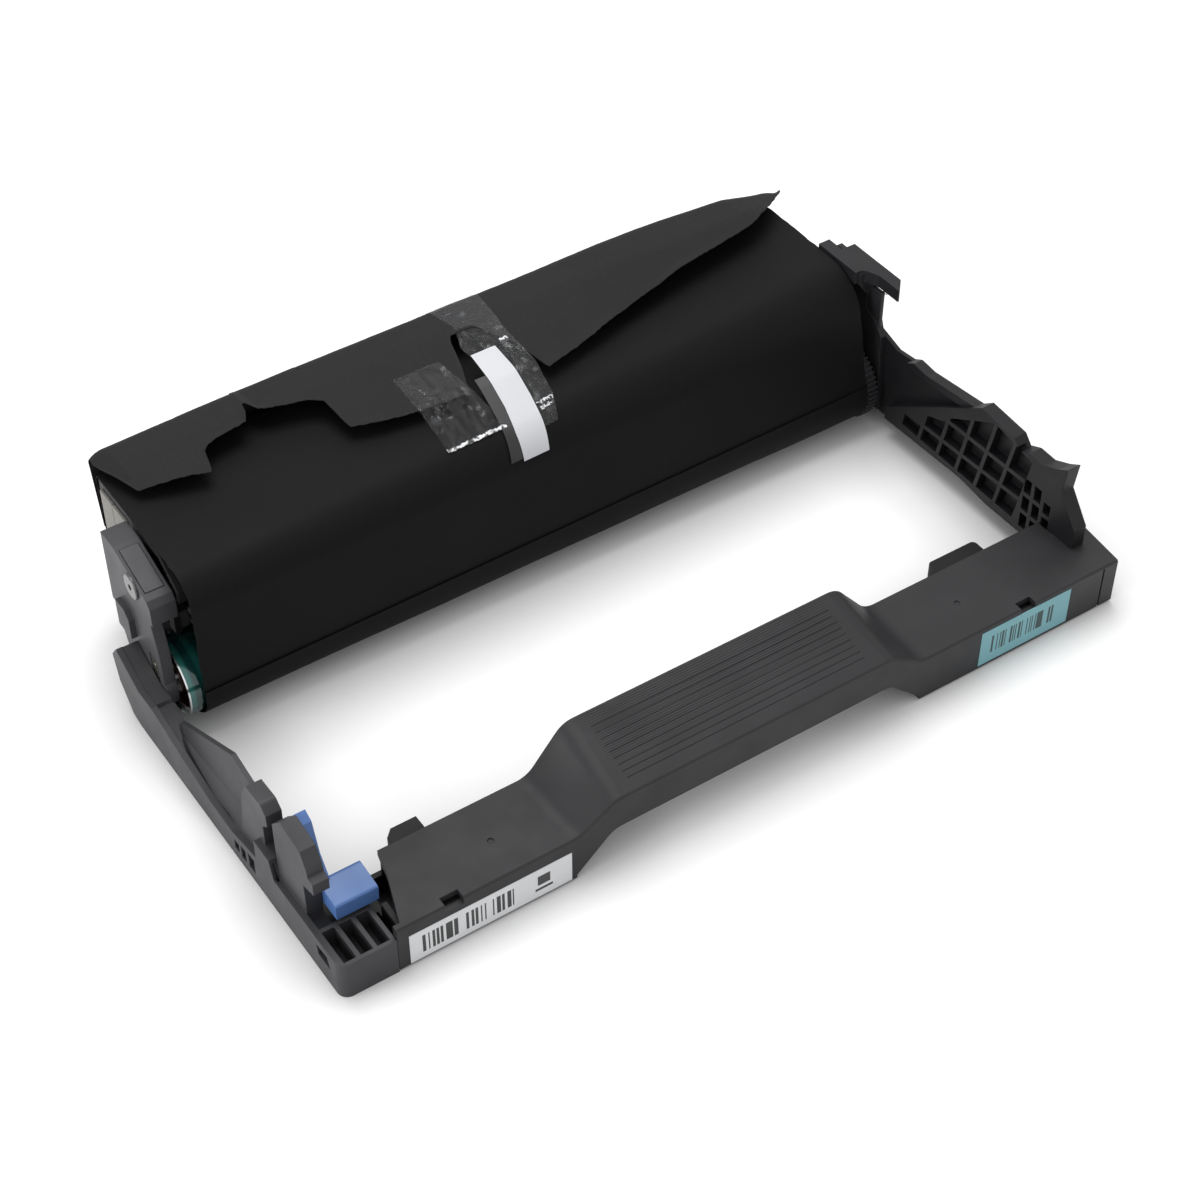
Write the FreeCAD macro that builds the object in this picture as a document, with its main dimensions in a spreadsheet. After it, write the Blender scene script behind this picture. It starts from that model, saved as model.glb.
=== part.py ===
"""Drum unit of a small laser printer.

A front bar with an arched grip joins two side arms. The arms carry the photoconductor drum and its
cleaner box at the rear, which are still in their black protective paper.
X runs to the right along the drum, Y to the rear, Z up. The origin is on the ground under the middle.
"""
import FreeCAD, Part
import math
import os

import Sketcher

DOC = FreeCAD.newDocument("DrumUnit")

# Driving sizes in millimetres: alias, value, what it is
SIZE_ROWS = [
    ("unit_width", 338, "over the two arms"),
    ("unit_depth", 210, "front label to the rear fold of the paper"),
    ("fit_gap", 0.2, "gap between parts that slide or snap together"),
    ("running_gap", 0.3, "gap beside what turns"),
    ("label_thick", 0.15, "labels and tapes"),
    # front bar
    ("bar_depth", 33, "front to back of the bar"),
    ("bar_height", 21, "top of the plates of the cover"),
    ("cover_thick", 2.6, "wall of the cover"),
    ("tray_wall", 2.2, "wall of the black tray"),
    ("cover_from_left", 21.5, "left side of the unit to the left end of the cover"),
    ("cover_slant", 12.5, "how far the left end leans in towards the back"),
    ("end_slant", 2.5, "how far the right end leans in towards the front"),
    ("groove_from_end", 9.5, "groove on the front face, from the right end"),
    ("groove_width", 0.8, "width and depth of that groove"),
    ("apron_bottom", 0.8, "lower edge of the front face above the ground"),
    ("corner_round", 4, "upright corner of the bar"),
    ("snap_width", 7, "notches for the snaps in the front edge"),
    ("snap_depth", 4, "how far those notches go back"),
    ("snap_height", 3.4, "how far they go down"),
    ("grip_shift", -2.5, "middle of the grip beside the middle of the unit"),
    ("grip_top_half", 59, "half length of the level top of the grip"),
    ("grip_foot_half", 74, "half length of the grip at its feet"),
    ("grip_rear_height", 39, "grip height along its back edge"),
    ("grip_front_height", 30, "grip height along its front edge"),
    ("grip_bend", 9, "bend radius at the feet and shoulders of the grip"),
    ("grip_groove", 0.35, "depth of the fine grooves along the grip"),
    ("groove_pitch", 2.7, "spacing of those grooves"),
    ("lip_height", 16, "lower edge of the front lip of the grip"),
    ("lip_foot_half", 75, "half length of the hand opening at the ground"),
    ("lip_top_half", 60, "half length of the hand opening at its top"),
    ("tab_reach", 8, "how far the rear tabs stand out"),
    ("tab_top", 18.2, "top of the rear tabs"),
    ("tab_bottom", 7, "underside of the rear tabs"),
    ("left_tab_width", 13, "width of the left tab"),
    ("right_tab_width", 23, "width of the right tab"),
    ("bay_top", 16.5, "top of the open bay at the left corner"),
    ("bay_floor", 7, "floor of that bay"),
    ("bay_depth", 18, "front to back of that bay"),
    ("bay_rib", 1.6, "walls and ribs of that bay"),
    ("post_radius", 3.5, "screw posts of the cover"),
    # side arms
    ("skin", 2.5, "outer skin of an arm"),
    ("arm_join", 26, "front face to where the arms leave the bar"),
    ("arm_thick", 6, "tall inner part of an arm"),
    ("left_arm_in", 8.5, "left side of the unit to the inner face of the left arm"),
    ("right_arm_in", 13, "right side of the unit to the inner face of the right arm"),
    ("web", 1.8, "webs and ribs of the lattice"),
    ("rib_pitch", 11.5, "spacing of the cross ribs"),
    ("small_cell", 5.6, "spacing of the small cells beside the bar"),
    ("rib_lean", 0.2, "lean of the cross ribs, run over rise"),
    ("deck", 2, "thickness of the deck of the left arm"),
    ("wing_top", 40, "highest point of the wing of the left arm"),
    ("guide_top", 24.5, "top of the ribbed outer guide"),
    ("guide_width", 7, "width of that guide"),
    ("guide_rib", 1, "ribs on its front face, and the grooves between"),
    # drum
    ("drum_from_rear", 63, "rear fold of the paper to the drum axis"),
    ("under_drum", 2.5, "ground to the lowest line of the drum"),
    ("drum_radius", 15, "outer radius of the drum"),
    ("drum_wall", 1, "wall of the drum tube"),
    ("drum_left_in", 14, "left side of the unit to the left rim of the drum"),
    ("drum_right_in", 19, "right side of the unit to the right rim of the drum"),
    ("shaft_radius", 3, "steel shaft of the drum"),
    ("shaft_gap", 0.05, "running clearance on a shaft"),
    ("hub_radius", 6, "hub of the drum flanges"),
    ("flange_depth", 9, "how far a flange goes into the drum"),
    ("gear_width", 4.6, "face width of the drum gear"),
    ("gear_radius", 16.8, "outer radius of the drum gear"),
    ("tooth_height", 1.3, "height of its teeth"),
    ("tooth_count", 48, "number of its teeth"),
    # charge roller
    ("roller_radius", 6, "charge roller"),
    ("roller_end_gap", 8, "end of the cleaner box to the end of the roller"),
    ("roller_shaft_radius", 3, "steel shaft of the charge roller"),
    ("roller_aim", 62, "direction from the drum axis to the roller axis, up from the rear"),
    ("bearing_size", 9, "square of the roller bearings"),
    ("bearing_width", 4, "width of the roller bearings"),
    ("spring_radius", 2.4, "coil radius of the roller springs"),
    ("spring_length", 9, "length of the roller springs"),
    ("wire", 0.6, "wire thickness of the springs"),
    # cleaner box
    ("box_left_in", 20, "left side of the unit to the cleaner box"),
    ("box_right_in", 19, "right side of the unit to the cleaner box"),
    ("box_wall", 2.2, "walls of the cleaner box"),
    ("box_deep", 37, "front to back of the cleaner box"),
    ("box_top", 66.5, "top of the trough"),
    ("box_bottom", 10, "underside of the trough"),
    ("lid_thick", 2.4, "thickness of the lid"),
    ("blade_thick", 1.6, "rubber blade"),
    ("plate_thick", 1.2, "steel plate that holds the blade"),
    ("film_thick", 0.3, "recovery film"),
    ("foam_thick", 0.9, "foam pads on the left end of the box"),
    # protective paper
    ("paper_thick", 0.5, "thickness of the sleeve, paper and glue"),
    ("paper_gap", 0.5, "air between paper and drum"),
    ("paper_left_in", 19.5, "left side of the unit to the left edge of the paper"),
    ("paper_right_in", 18.5, "right side of the unit to the right edge of the paper"),
    ("ridge_rise", 9.6, "how far the rear fold stands above the sleeve"),
    ("paper_lean", 12, "lean of the front of the sleeve at its right end, degrees"),
    # end brackets
    ("cap_width", 10, "width of the left end cap"),
    ("cap_height", 68, "top of the left end cap"),
    ("lug_reach", 2.4, "lug on the outside of that cap"),
    ("strip_seat", 0.6, "recess for the ground strip in that cap"),
    ("boss_radius", 5, "glossy bush on the outside of that cap"),
    ("boss_reach", 1, "how far it stands out"),
    ("boss_stub", 2.5, "radius of the hole that it sits in"),
    ("bracket_height", 72, "top of the right end bracket"),
    ("bracket_width", 11.8, "width of its roof"),
    ("bracket_roof", 5.5, "thickness of its roof"),
    # lever
    ("lever_width", 4, "thickness of the lever arm"),
    ("pad_width", 16, "width of the blue pad"),
    ("pad_top", 26, "top of the pad"),
    ("pad_height", 8, "height of the pad"),
    ("pivot_from_front", 36, "front face to the lever pivot"),
    ("pivot_height", 31, "lever pivot above the ground"),
    ("pivot_radius", 2.5, "pivot stub of the lever"),
    # small parts
    ("screw_radius", 1.5, "thread of the screws"),
    ("head_radius", 3, "head of the screws"),
    ("head_height", 1.8, "height of the screw heads"),
]


class Size:
    """A length: its value now, and the sheet expression that it comes from."""

    def __init__(self, value, text):
        self.value = float(value)
        self.text = text

    @staticmethod
    def of(other):
        """The same length, or a plain number as one."""
        return other if isinstance(other, Size) else Size(other, "(%r)" % float(other))

    def _with(self, sign, other, value):
        return Size(value, "(%s %s %s)" % (self.text, sign, Size.of(other).text))

    def __add__(self, other):
        return self._with("+", other, self.value + Size.of(other).value)

    def __sub__(self, other):
        return self._with("-", other, self.value - Size.of(other).value)

    def __mul__(self, other):
        return self._with("*", other, self.value * Size.of(other).value)

    def __truediv__(self, other):
        return self._with("/", other, self.value / Size.of(other).value)

    def __neg__(self):
        return Size.of(0) - self

    def __radd__(self, other):
        return Size.of(other) + self

    def __rsub__(self, other):
        return Size.of(other) - self

    def __rmul__(self, other):
        return Size.of(other) * self

    def __rtruediv__(self, other):
        return Size.of(other) / self


class Sizes:
    """The sheet of driving sizes; each alias reads as a Size."""

    def __init__(self, rows):
        self.sheet = DOC.addObject("Spreadsheet::Sheet", "Sizes")
        self.values = {}
        for row, (alias, value, note) in enumerate(rows, 1):
            self.sheet.set("A%d" % row, alias)
            self.sheet.set("B%d" % row, str(value))
            self.sheet.setAlias("B%d" % row, alias)
            self.sheet.set("C%d" % row, note)
            self.values[alias] = value
        DOC.recompute()

    def __getattr__(self, alias):
        return Size(self.values[alias], "Sizes." + alias)


S = Sizes(SIZE_ROWS)


def turn(function, size):
    """Sine, cosine or tangent of an angle of the sheet in degrees."""
    size = Size.of(size)
    value = getattr(math, function)(math.radians(size.value))
    return Size(value, "%s(%s * 1deg)" % (function, size.text))


# Places that many parts share
FRONT = -S.unit_depth / 2 + S.label_thick
REAR = S.unit_depth / 2
LEFT = -S.unit_width / 2
RIGHT = S.unit_width / 2
BAR_BACK = FRONT + S.bar_depth
DRUM_Y = REAR - S.drum_from_rear
DRUM_Z = S.under_drum + S.drum_radius
DRUM_LEFT = LEFT + S.drum_left_in
DRUM_RIGHT = RIGHT - S.drum_right_in
AXES_APART = S.drum_radius + S.roller_radius + S.running_gap
ROLLER_Y = DRUM_Y + AXES_APART * turn("cos", S.roller_aim)
ROLLER_Z = DRUM_Z + AXES_APART * turn("sin", S.roller_aim)
BOX_LEFT = LEFT + S.box_left_in
BOX_RIGHT = RIGHT - S.box_right_in
BOX_FRONT = ROLLER_Y + S.roller_radius + 3
BOX_REAR = BOX_FRONT + S.box_deep
LID_TOP = S.box_top + S.lid_thick
LEFT_INNER = LEFT + S.left_arm_in
RIGHT_INNER = RIGHT - S.right_arm_in
RIGHT_WEB = RIGHT_INNER + S.arm_thick - S.web
CAP_LEFT = LEFT_INNER + S.fit_gap
CAP_RIGHT = CAP_LEFT + S.cap_width
WALL_X = RIGHT_WEB - S.fit_gap - S.tray_wall
GRIP = S.grip_shift
COVER_LEFT = LEFT + S.cover_from_left
PLATE_UNDER = S.bar_height - S.cover_thick
PIVOT_Y = FRONT + S.pivot_from_front
PIVOT_Z = S.pivot_height
PAD_UNDER = S.pad_top - S.pad_height
PAD_FLOOR = PAD_UNDER - 7.5


def at(distance):
    """Y of a place at a distance behind the front face of the bar."""
    return FRONT + distance


def behind(distance):
    """Y of a place at a distance behind the drum axis."""
    return DRUM_Y + distance


def above(distance):
    """Z of a place at a distance above the drum axis."""
    return DRUM_Z + distance


# Building with sketches and features


def bind(thing, path, size):
    """Binds a property of an object to the sheet."""
    thing.setExpression(path, Size.of(size).text)


def number(size):
    return Size.of(size).value


def new_body(label):
    body = DOC.addObject("PartDesign::Body", "Body_" + label)
    body.Label = label
    return body


def dimension(sketch, what, size):
    """Adds a dimension to a sketch and binds it to the sheet."""
    size = Size.of(size)
    index = sketch.addConstraint(Sketcher.Constraint(*what, size.value))
    if "Sizes." in size.text:
        sketch.setExpression("Constraints[%d]" % index, size.text)


def round_corner(before, corner, after, radius):
    """Where the arc that rounds a corner begins and ends, and its centre."""
    to_before = (before - corner).normalize()
    to_after = (after - corner).normalize()
    half = to_before.getAngle(to_after) / 2
    reach = radius / math.tan(half)
    middle = (to_before + to_after).normalize()
    centre = corner + middle * (radius / math.sin(half))
    return corner + to_before * reach, corner + to_after * reach, centre


def add_arc(sketch, entry, leave, centre):
    """Adds the short arc between two points; tells which of its ends is the entry."""
    radius = (entry - centre).Length
    angle_entry = math.atan2(entry.y - centre.y, entry.x - centre.x)
    angle_leave = math.atan2(leave.y - centre.y, leave.x - centre.x)
    sweep = (angle_leave - angle_entry) % (2 * math.pi)
    circle = Part.Circle(centre, FreeCAD.Vector(0, 0, 1), radius)
    if sweep < math.pi:
        return sketch.addGeometry(Part.ArcOfCircle(circle, angle_entry, angle_entry + sweep)), 1
    sweep = 2 * math.pi - sweep
    return sketch.addGeometry(Part.ArcOfCircle(circle, angle_leave, angle_leave + sweep)), 2


def add_outline(sketch, corners):
    """Adds a closed outline; a corner is (across, up) or (across, up, rounding radius)."""
    points = [FreeCAD.Vector(number(c[0]), number(c[1]), 0) for c in corners]
    count = len(corners)
    starts, ends, arcs = list(points), list(points), {}
    for i, corner in enumerate(corners):
        if len(corner) > 2:
            entry, leave, centre = round_corner(
                points[i - 1], points[i], points[(i + 1) % count], number(corner[2]))
            ends[i], starts[i] = entry, leave
            arcs[i] = (entry, leave, centre)
    lines = []
    for i in range(count):
        lines.append(sketch.addGeometry(Part.LineSegment(starts[i], ends[(i + 1) % count])))
    for i, corner in enumerate(corners):
        before, after = lines[i - 1], lines[i]
        if i in arcs:
            arc, entry_end = add_arc(sketch, *arcs[i])
            sketch.addConstraint(Sketcher.Constraint("Tangent", before, 2, arc, entry_end))
            sketch.addConstraint(Sketcher.Constraint("Tangent", after, 1, arc, 3 - entry_end))
            dimension(sketch, ("Radius", arc), corner[2])
            anchor = sketch.addGeometry(Part.Point(points[i]), True)
            sketch.addConstraint(Sketcher.Constraint("PointOnObject", anchor, 1, before))
            sketch.addConstraint(Sketcher.Constraint("PointOnObject", anchor, 1, after))
        else:
            sketch.addConstraint(Sketcher.Constraint("Coincident", before, 2, after, 1))
            anchor = after
        dimension(sketch, ("DistanceX", -1, 1, anchor, 1), corner[0])
        dimension(sketch, ("DistanceY", -1, 1, anchor, 1), corner[1])


def add_circle(sketch, across, up, radius):
    centre = FreeCAD.Vector(number(across), number(up), 0)
    index = sketch.addGeometry(Part.Circle(centre, FreeCAD.Vector(0, 0, 1), number(radius)))
    dimension(sketch, ("Radius", index), radius)
    dimension(sketch, ("DistanceX", -1, 1, index, 3), across)
    dimension(sketch, ("DistanceY", -1, 1, index, 3), up)


def origin_part(body, role):
    return [part for part in body.Origin.OriginFeatures if part.Role == role][0]


def new_sketch(body, plane, place, outlines=(), circles=()):
    """A sketch across an axis: outlines and circles on a plane of the body, at a place along it."""
    sketch = body.newObject("Sketcher::SketchObject", "Sketch")
    sketch.AttachmentSupport = [(origin_part(body, plane + "_Plane"), "")]
    sketch.MapMode = "FlatFace"
    bind(sketch, "AttachmentOffset.Base.z", -Size.of(place) if plane == "XZ" else place)
    for corners in outlines:
        add_outline(sketch, corners)
    for across, up, radius in circles:
        add_circle(sketch, across, up, radius)
    return sketch


def pad(body, plane, place, length, outlines=(), circles=()):
    """Adds material from a place along the plane's axis, towards its positive side."""
    sketch = new_sketch(body, plane, place, outlines, circles)
    feature = body.newObject("PartDesign::Pad", "Pad")
    feature.Profile = sketch
    bind(feature, "Length", length)
    feature.Reversed = plane == "XZ"
    return feature


def pocket(body, plane, place, length, outlines=(), circles=()):
    """Takes material away from a place along the plane's axis, towards its positive side."""
    DOC.recompute()
    volume = body.Shape.Volume
    sketch = new_sketch(body, plane, place, outlines, circles)
    feature = body.newObject("PartDesign::Pocket", "Pocket")
    feature.Profile = sketch
    bind(feature, "Length", length)
    feature.Reversed = plane != "XZ"
    DOC.recompute()
    if not body.Shape.Volume < volume - 1e-6:
        raise RuntimeError("a pocket of %s cuts nothing" % body.Label)
    return feature


def loft(body, kind, first, second):
    """A ruled loft, added or taken away, from one sketch to another."""
    feature = body.newObject("PartDesign::" + kind, "Loft")
    feature.Profile = first
    feature.Sections = [second]
    feature.Ruled = True
    return feature


def soften(body, kind, size, chosen):
    """Rounds (Fillet) or bevels (Chamfer) the edges of the body that a test picks out."""
    DOC.recompute()
    tip = body.Tip
    names = ["Edge%d" % (i + 1) for i, edge in enumerate(tip.Shape.Edges) if chosen(edge)]
    if not names:
        raise RuntimeError("no edge to soften on " + body.Label)
    feature = body.newObject("PartDesign::" + kind, kind)
    feature.Base = (tip, names)
    bind(feature, "Radius" if kind == "Fillet" else "Size", size)
    return feature


def runs_along(edge, axis):
    """True for a straight edge along x, y or z."""
    if edge.Curve.TypeId != "Part::GeomLine":
        return False
    return abs(getattr(edge.Curve.Direction, axis)) > 0.999


def near(value, size):
    return abs(value - number(size)) < 0.05


def rectangle(low_across, low_up, high_across, high_up):
    return [(low_across, low_up), (high_across, low_up), (high_across, high_up), (low_across, high_up)]


def circle_pattern(body, feature, y, z, count):
    """Repeats a feature round a line along X."""
    axis = body.newObject("PartDesign::Line", "AxisLine")
    axis.AttachmentSupport = [(origin_part(body, "YZ_Plane"), "")]
    axis.MapMode = "ObjectZ"
    bind(axis, "AttachmentOffset.Base.x", y)
    bind(axis, "AttachmentOffset.Base.y", z)
    DOC.recompute()
    pattern = body.newObject("PartDesign::PolarPattern", "Pattern")
    pattern.Originals = [feature]
    pattern.Axis = (axis, [""])
    pattern.Angle = 360
    bind(pattern, "Occurrences", count)
    body.Tip = pattern


def rod(name, x, y, z, radius, length, axis="x"):
    """A round bar along x, y or z, from its lowest end."""
    bar = DOC.addObject("Part::Cylinder", name)
    bind(bar, "Radius", radius)
    bind(bar, "Height", length)
    direction, angle = {"x": ((0, 1, 0), 90), "y": ((1, 0, 0), -90), "z": ((0, 0, 1), 0)}[axis]
    rotation = FreeCAD.Rotation(FreeCAD.Vector(*direction), angle)
    bar.Placement = FreeCAD.Placement(FreeCAD.Vector(), rotation)
    for name_of_axis, size in (("x", x), ("y", y), ("z", z)):
        bind(bar, "Placement.Base." + name_of_axis, size)
    return bar


def fuse(name, *pieces):
    """Several shapes as one solid."""
    whole = DOC.addObject("Part::MultiFuse", name)
    whole.Shapes = list(pieces)
    return whole


def group(label, pieces):
    """Like pieces that share one node."""
    whole = DOC.addObject("Part::Compound", "Group_" + label)
    whole.Label = label
    whole.Links = list(pieces)
    return whole


# Front bar


def bar_profile(level, grip_level, inset, bottom):
    """Front view of the bar: two level plates and the arched grip between them."""
    foot = S.grip_foot_half - inset
    crown = S.grip_top_half - inset
    return [
        (COVER_LEFT + inset, bottom),
        (COVER_LEFT + inset, level),
        (GRIP - foot, level, S.grip_bend),
        (GRIP - crown, grip_level, S.grip_bend),
        (GRIP + crown, grip_level, S.grip_bend),
        (GRIP + foot, level, S.grip_bend),
        (RIGHT - inset, level),
        (RIGHT - inset, bottom),
    ]


def hand_opening():
    """The arch under the grip, wider at the ground."""
    return [
        (GRIP - S.lip_foot_half, -S.bar_height),
        (GRIP - S.lip_foot_half, S.tray_wall),
        (GRIP - S.lip_top_half, S.lip_height, 8),
        (GRIP + S.lip_top_half, S.lip_height, 8),
        (GRIP + S.lip_foot_half, S.tray_wall),
        (GRIP + S.lip_foot_half, -S.bar_height),
    ]


def post_places():
    """Where the four screws of the bar go, as (x, y)."""
    y = FRONT + S.bar_depth / 2
    places = []
    for x in (COVER_LEFT + 25, GRIP - S.grip_foot_half - 13, GRIP + S.grip_foot_half + 13, RIGHT - 21):
        places.append((x, y))
    return places


def make_front_bar_cover():
    """Grey cover: front face, plates and the arched, grooved grip, open below and behind."""
    body = new_body("front_bar_cover")
    wall = S.cover_thick
    front = new_sketch(body, "XZ", FRONT, [
        bar_profile(S.bar_height, S.grip_front_height, Size.of(0), S.apron_bottom)])
    back = new_sketch(body, "XZ", BAR_BACK, [
        bar_profile(S.bar_height, S.grip_rear_height, Size.of(0), S.apron_bottom)])
    loft(body, "AdditiveLoft", front, back)
    rise = (S.grip_rear_height - S.grip_front_height) / S.bar_depth * wall
    inner_front = new_sketch(body, "XZ", FRONT + wall, [bar_profile(
        PLATE_UNDER, S.grip_front_height + rise - wall, wall, -wall)])
    inner_back = new_sketch(body, "XZ", BAR_BACK + wall, [bar_profile(
        PLATE_UNDER, S.grip_rear_height + rise - wall, wall, -wall)])
    loft(body, "SubtractiveLoft", inner_front, inner_back)
    soften(body, "Fillet", Size.of(1), lambda edge: (
        near(edge.BoundBox.YMin, FRONT) and near(edge.BoundBox.YMax, FRONT)
        and edge.BoundBox.ZMin > number(PLATE_UNDER)))
    pocket(body, "XZ", FRONT - wall, S.bar_depth, [hand_opening()])
    # Screw posts, up to the plates
    pad(body, "XY", S.tray_wall + 3, PLATE_UNDER - S.tray_wall - 2.5,
        circles=[(x, y, S.post_radius) for x, y in post_places()])
    pocket(body, "XY", S.tray_wall + 2, PLATE_UNDER - S.tray_wall - 3,
           circles=[(x, y, S.screw_radius) for x, y in post_places()])
    # The left end leans in towards the back, beside the lever and the left tab
    lean = S.cover_slant
    pocket(body, "XY", -wall, S.grip_rear_height, [[
        (COVER_LEFT - wall, FRONT + wall), (COVER_LEFT + wall, FRONT + wall),
        (COVER_LEFT + lean * 0.68, FRONT + S.bar_depth * 0.6),
        (COVER_LEFT + lean * 0.8, FRONT + S.bar_depth * 0.75),
        (COVER_LEFT + lean, BAR_BACK + wall), (COVER_LEFT - wall, BAR_BACK + wall)]])
    # The right end leans in towards the front
    pocket(body, "XY", -wall, S.grip_rear_height, [[
        (RIGHT - S.end_slant, FRONT - wall), (RIGHT + wall, FRONT - wall),
        (RIGHT + wall, FRONT + S.bar_depth * 0.65), (RIGHT, FRONT + S.bar_depth * 0.65)]])
    # Notch for the right arm
    pocket(body, "XY", -wall, S.grip_rear_height, [rectangle(
        RIGHT_INNER - S.fit_gap, FRONT + S.arm_join - S.fit_gap, RIGHT + wall, BAR_BACK + wall)])
    # Groove near the right end, and a notch for a snap at each end of the front edge
    groove = RIGHT - S.groove_from_end
    pocket(body, "XZ", FRONT - wall, wall + S.groove_width, [rectangle(
        groove, -wall, groove + S.groove_width, S.bar_height - 1)])
    notches = []
    for middle in (COVER_LEFT + 22, RIGHT - 46.5):
        notches.append(rectangle(
            middle - S.snap_width / 2, FRONT - 1, middle + S.snap_width / 2, FRONT + S.snap_depth))
    pocket(body, "XY", S.bar_height - S.snap_height, S.snap_height + 1, notches)
    # A dimple on each plate, and a slot near the right corner
    pocket(body, "XY", S.bar_height - 0.5, Size.of(1), circles=[
        (GRIP - S.grip_foot_half - 25.4, at(15.5), Size.of(1.2)),
        (GRIP + S.grip_foot_half + 30.1, at(16.3), Size.of(1.2))])
    pocket(body, "XY", PLATE_UNDER - 1, wall + 2, [rectangle(
        RIGHT - 11.5, at(15), RIGHT - 10, at(20))])
    # Fine grooves along the grip
    grooves = []
    count = int(number(S.bar_depth - 8) / S.groove_pitch.value)
    slope = (S.grip_rear_height - S.grip_front_height) / S.bar_depth
    for step in range(count):
        y = 5 + S.groove_pitch * step
        level = S.grip_front_height + slope * (y + 0.4)
        grooves.append([
            (FRONT + y + 0.4, level - S.grip_groove), (FRONT + y + 1.2, level + 1),
            (FRONT + y - 0.4, level + 1)])
    pocket(body, "YZ", GRIP - S.grip_top_half + 8, S.grip_top_half * 2 - 16, grooves)
    return body


def make_front_bar_base():
    """Black tray: two hollow ends joined behind the grip by an arched wall."""
    body = new_body("front_bar_base")
    wall = S.tray_wall
    inset = S.cover_thick + S.fit_gap
    start = FRONT + inset
    depth = S.bar_depth - inset
    top = PLATE_UNDER - S.fit_gap
    rise = S.grip_rear_height - inset - 0.5
    foot = S.grip_foot_half - inset
    crown = S.grip_top_half - inset
    # Back wall with its arch
    pad(body, "XZ", BAR_BACK - wall, wall, [[
        (LEFT_INNER, 0), (LEFT_INNER, PAD_FLOOR), (COVER_LEFT + S.cover_slant + inset, PAD_FLOOR),
        (COVER_LEFT + S.cover_slant + inset, top), (GRIP - foot, top, S.grip_bend),
        (GRIP - crown, rise, S.grip_bend), (GRIP + crown, rise, S.grip_bend),
        (GRIP + foot, top, S.grip_bend), (RIGHT - inset, top), (RIGHT - inset, 0),
        (GRIP + S.lip_foot_half, 0), (GRIP + S.lip_top_half, S.lip_height, 8),
        (GRIP - S.lip_top_half, S.lip_height, 8), (GRIP - S.lip_foot_half, 0)]])
    # The two trays
    low_left = GRIP - S.lip_foot_half
    low_right = GRIP + S.lip_foot_half
    tray_top = top - 1
    pad(body, "XZ", start, depth, [
        [(LEFT_INNER, 0), (LEFT_INNER, PAD_FLOOR), (COVER_LEFT + inset, PAD_FLOOR),
         (COVER_LEFT + inset, tray_top), (low_left - 4, tray_top), (low_left - 1, 0)],
        [(low_right + 1, 0), (low_right + 4, tray_top), (RIGHT - inset, tray_top), (RIGHT - inset, 0)]])
    # Room for the corner bay of the left arm
    pocket(body, "XY", Size.of(-1), S.bar_height, [rectangle(
        LEFT_INNER - 1, start - 1, COVER_LEFT + inset, at(S.bay_depth))])
    # Hollow of the two trays
    pocket(body, "XY", wall, S.bar_height, [
        rectangle(COVER_LEFT + inset + wall, start + wall, low_left - 4 - wall, BAR_BACK - wall),
        rectangle(low_right + 4 + wall, start + wall, RIGHT - inset - wall, BAR_BACK - wall)])
    # Notch for the right arm
    pocket(body, "XY", Size.of(-1), S.bar_height, [rectangle(
        RIGHT_INNER, FRONT + S.arm_join, RIGHT + wall, BAR_BACK + wall)])
    # The slanted left end of the cover and the pad of the lever need their room
    slant = COVER_LEFT + S.cover_slant
    pocket(body, "XY", PAD_FLOOR, S.bar_height, [[
        (LEFT_INNER - 0.8, FRONT + 15.5), (COVER_LEFT + S.cover_slant * 0.5, FRONT + 15.5),
        (slant + 0.5, BAR_BACK + 1), (LEFT_INNER - 0.8, BAR_BACK + 1)]])
    # Rear tabs, the left one bevelled below
    left = COVER_LEFT + S.cover_slant + 6
    right = RIGHT - 61
    tab_back = BAR_BACK + S.tab_reach
    pad(body, "XY", S.tab_bottom, S.tab_top - S.tab_bottom, [
        [(left, BAR_BACK - 1), (left, tab_back - 3), (left + 3, tab_back),
         (left + S.left_tab_width, tab_back), (left + S.left_tab_width, BAR_BACK - 1)],
        [(right, BAR_BACK - 1), (right, tab_back, 2), (right + S.right_tab_width, tab_back, 2),
         (right + S.right_tab_width, BAR_BACK - 1)]])
    # Bosses under the screw posts, with a sunk seat for each screw head
    pad(body, "XY", Size.of(0), wall + 2.8, circles=[
        (x, y, S.head_radius + 2) for x, y in post_places()])
    pocket(body, "XY", Size.of(-1), wall + 6, circles=[
        (x, y, S.screw_radius + S.fit_gap) for x, y in post_places()])
    pocket(body, "XY", Size.of(-1), S.head_height + 1.2, circles=[
        (x, y, S.head_radius + S.fit_gap) for x, y in post_places()])
    return body


def make_bar_screws():
    """Four screws that hold the cover on the tray, from below."""
    screws = []
    for index, (x, y) in enumerate(post_places()):
        low = Size.of(0.2)
        head = rod("BarHead%d" % index, x, y, low, S.head_radius, S.head_height, "z")
        thread_radius = S.screw_radius - S.shaft_gap
        thread = rod("BarThread%d" % index, x, y, low + S.head_height, thread_radius, Size.of(12), "z")
        screws.append(fuse("BarScrew%d" % index, head, thread))
    return group("bar_screws", screws)


# Side arms


def lattice_cell(low, high, level, start, span):
    """One leaning cell between two long ribs, cut off by the slanted top of the panel."""
    half = S.web / 2
    rows = ((12, 13), (24, 20), (34, 32), (46, 60))

    def row_height(row, y):
        share = (y - start) / span
        return rows[row][0] + (rows[row][1] - rows[row][0]) * share

    corners = []
    for y, side in ((low, 0), (high, 0), (high, 1), (low, 1)):
        up = row_height(level + side, y) + (half if side == 0 else -half)
        ceiling = 45 - (y - at(80)) * 0.67 - S.web
        if side == 1 and number(ceiling) < number(up):
            up = ceiling
        corners.append((y - (up - 12) * S.rib_lean, up))
    heights = [number(corners[2][1] - corners[1][1]), number(corners[3][1] - corners[0][1])]
    return corners if min(heights) > 1.5 else None


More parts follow.
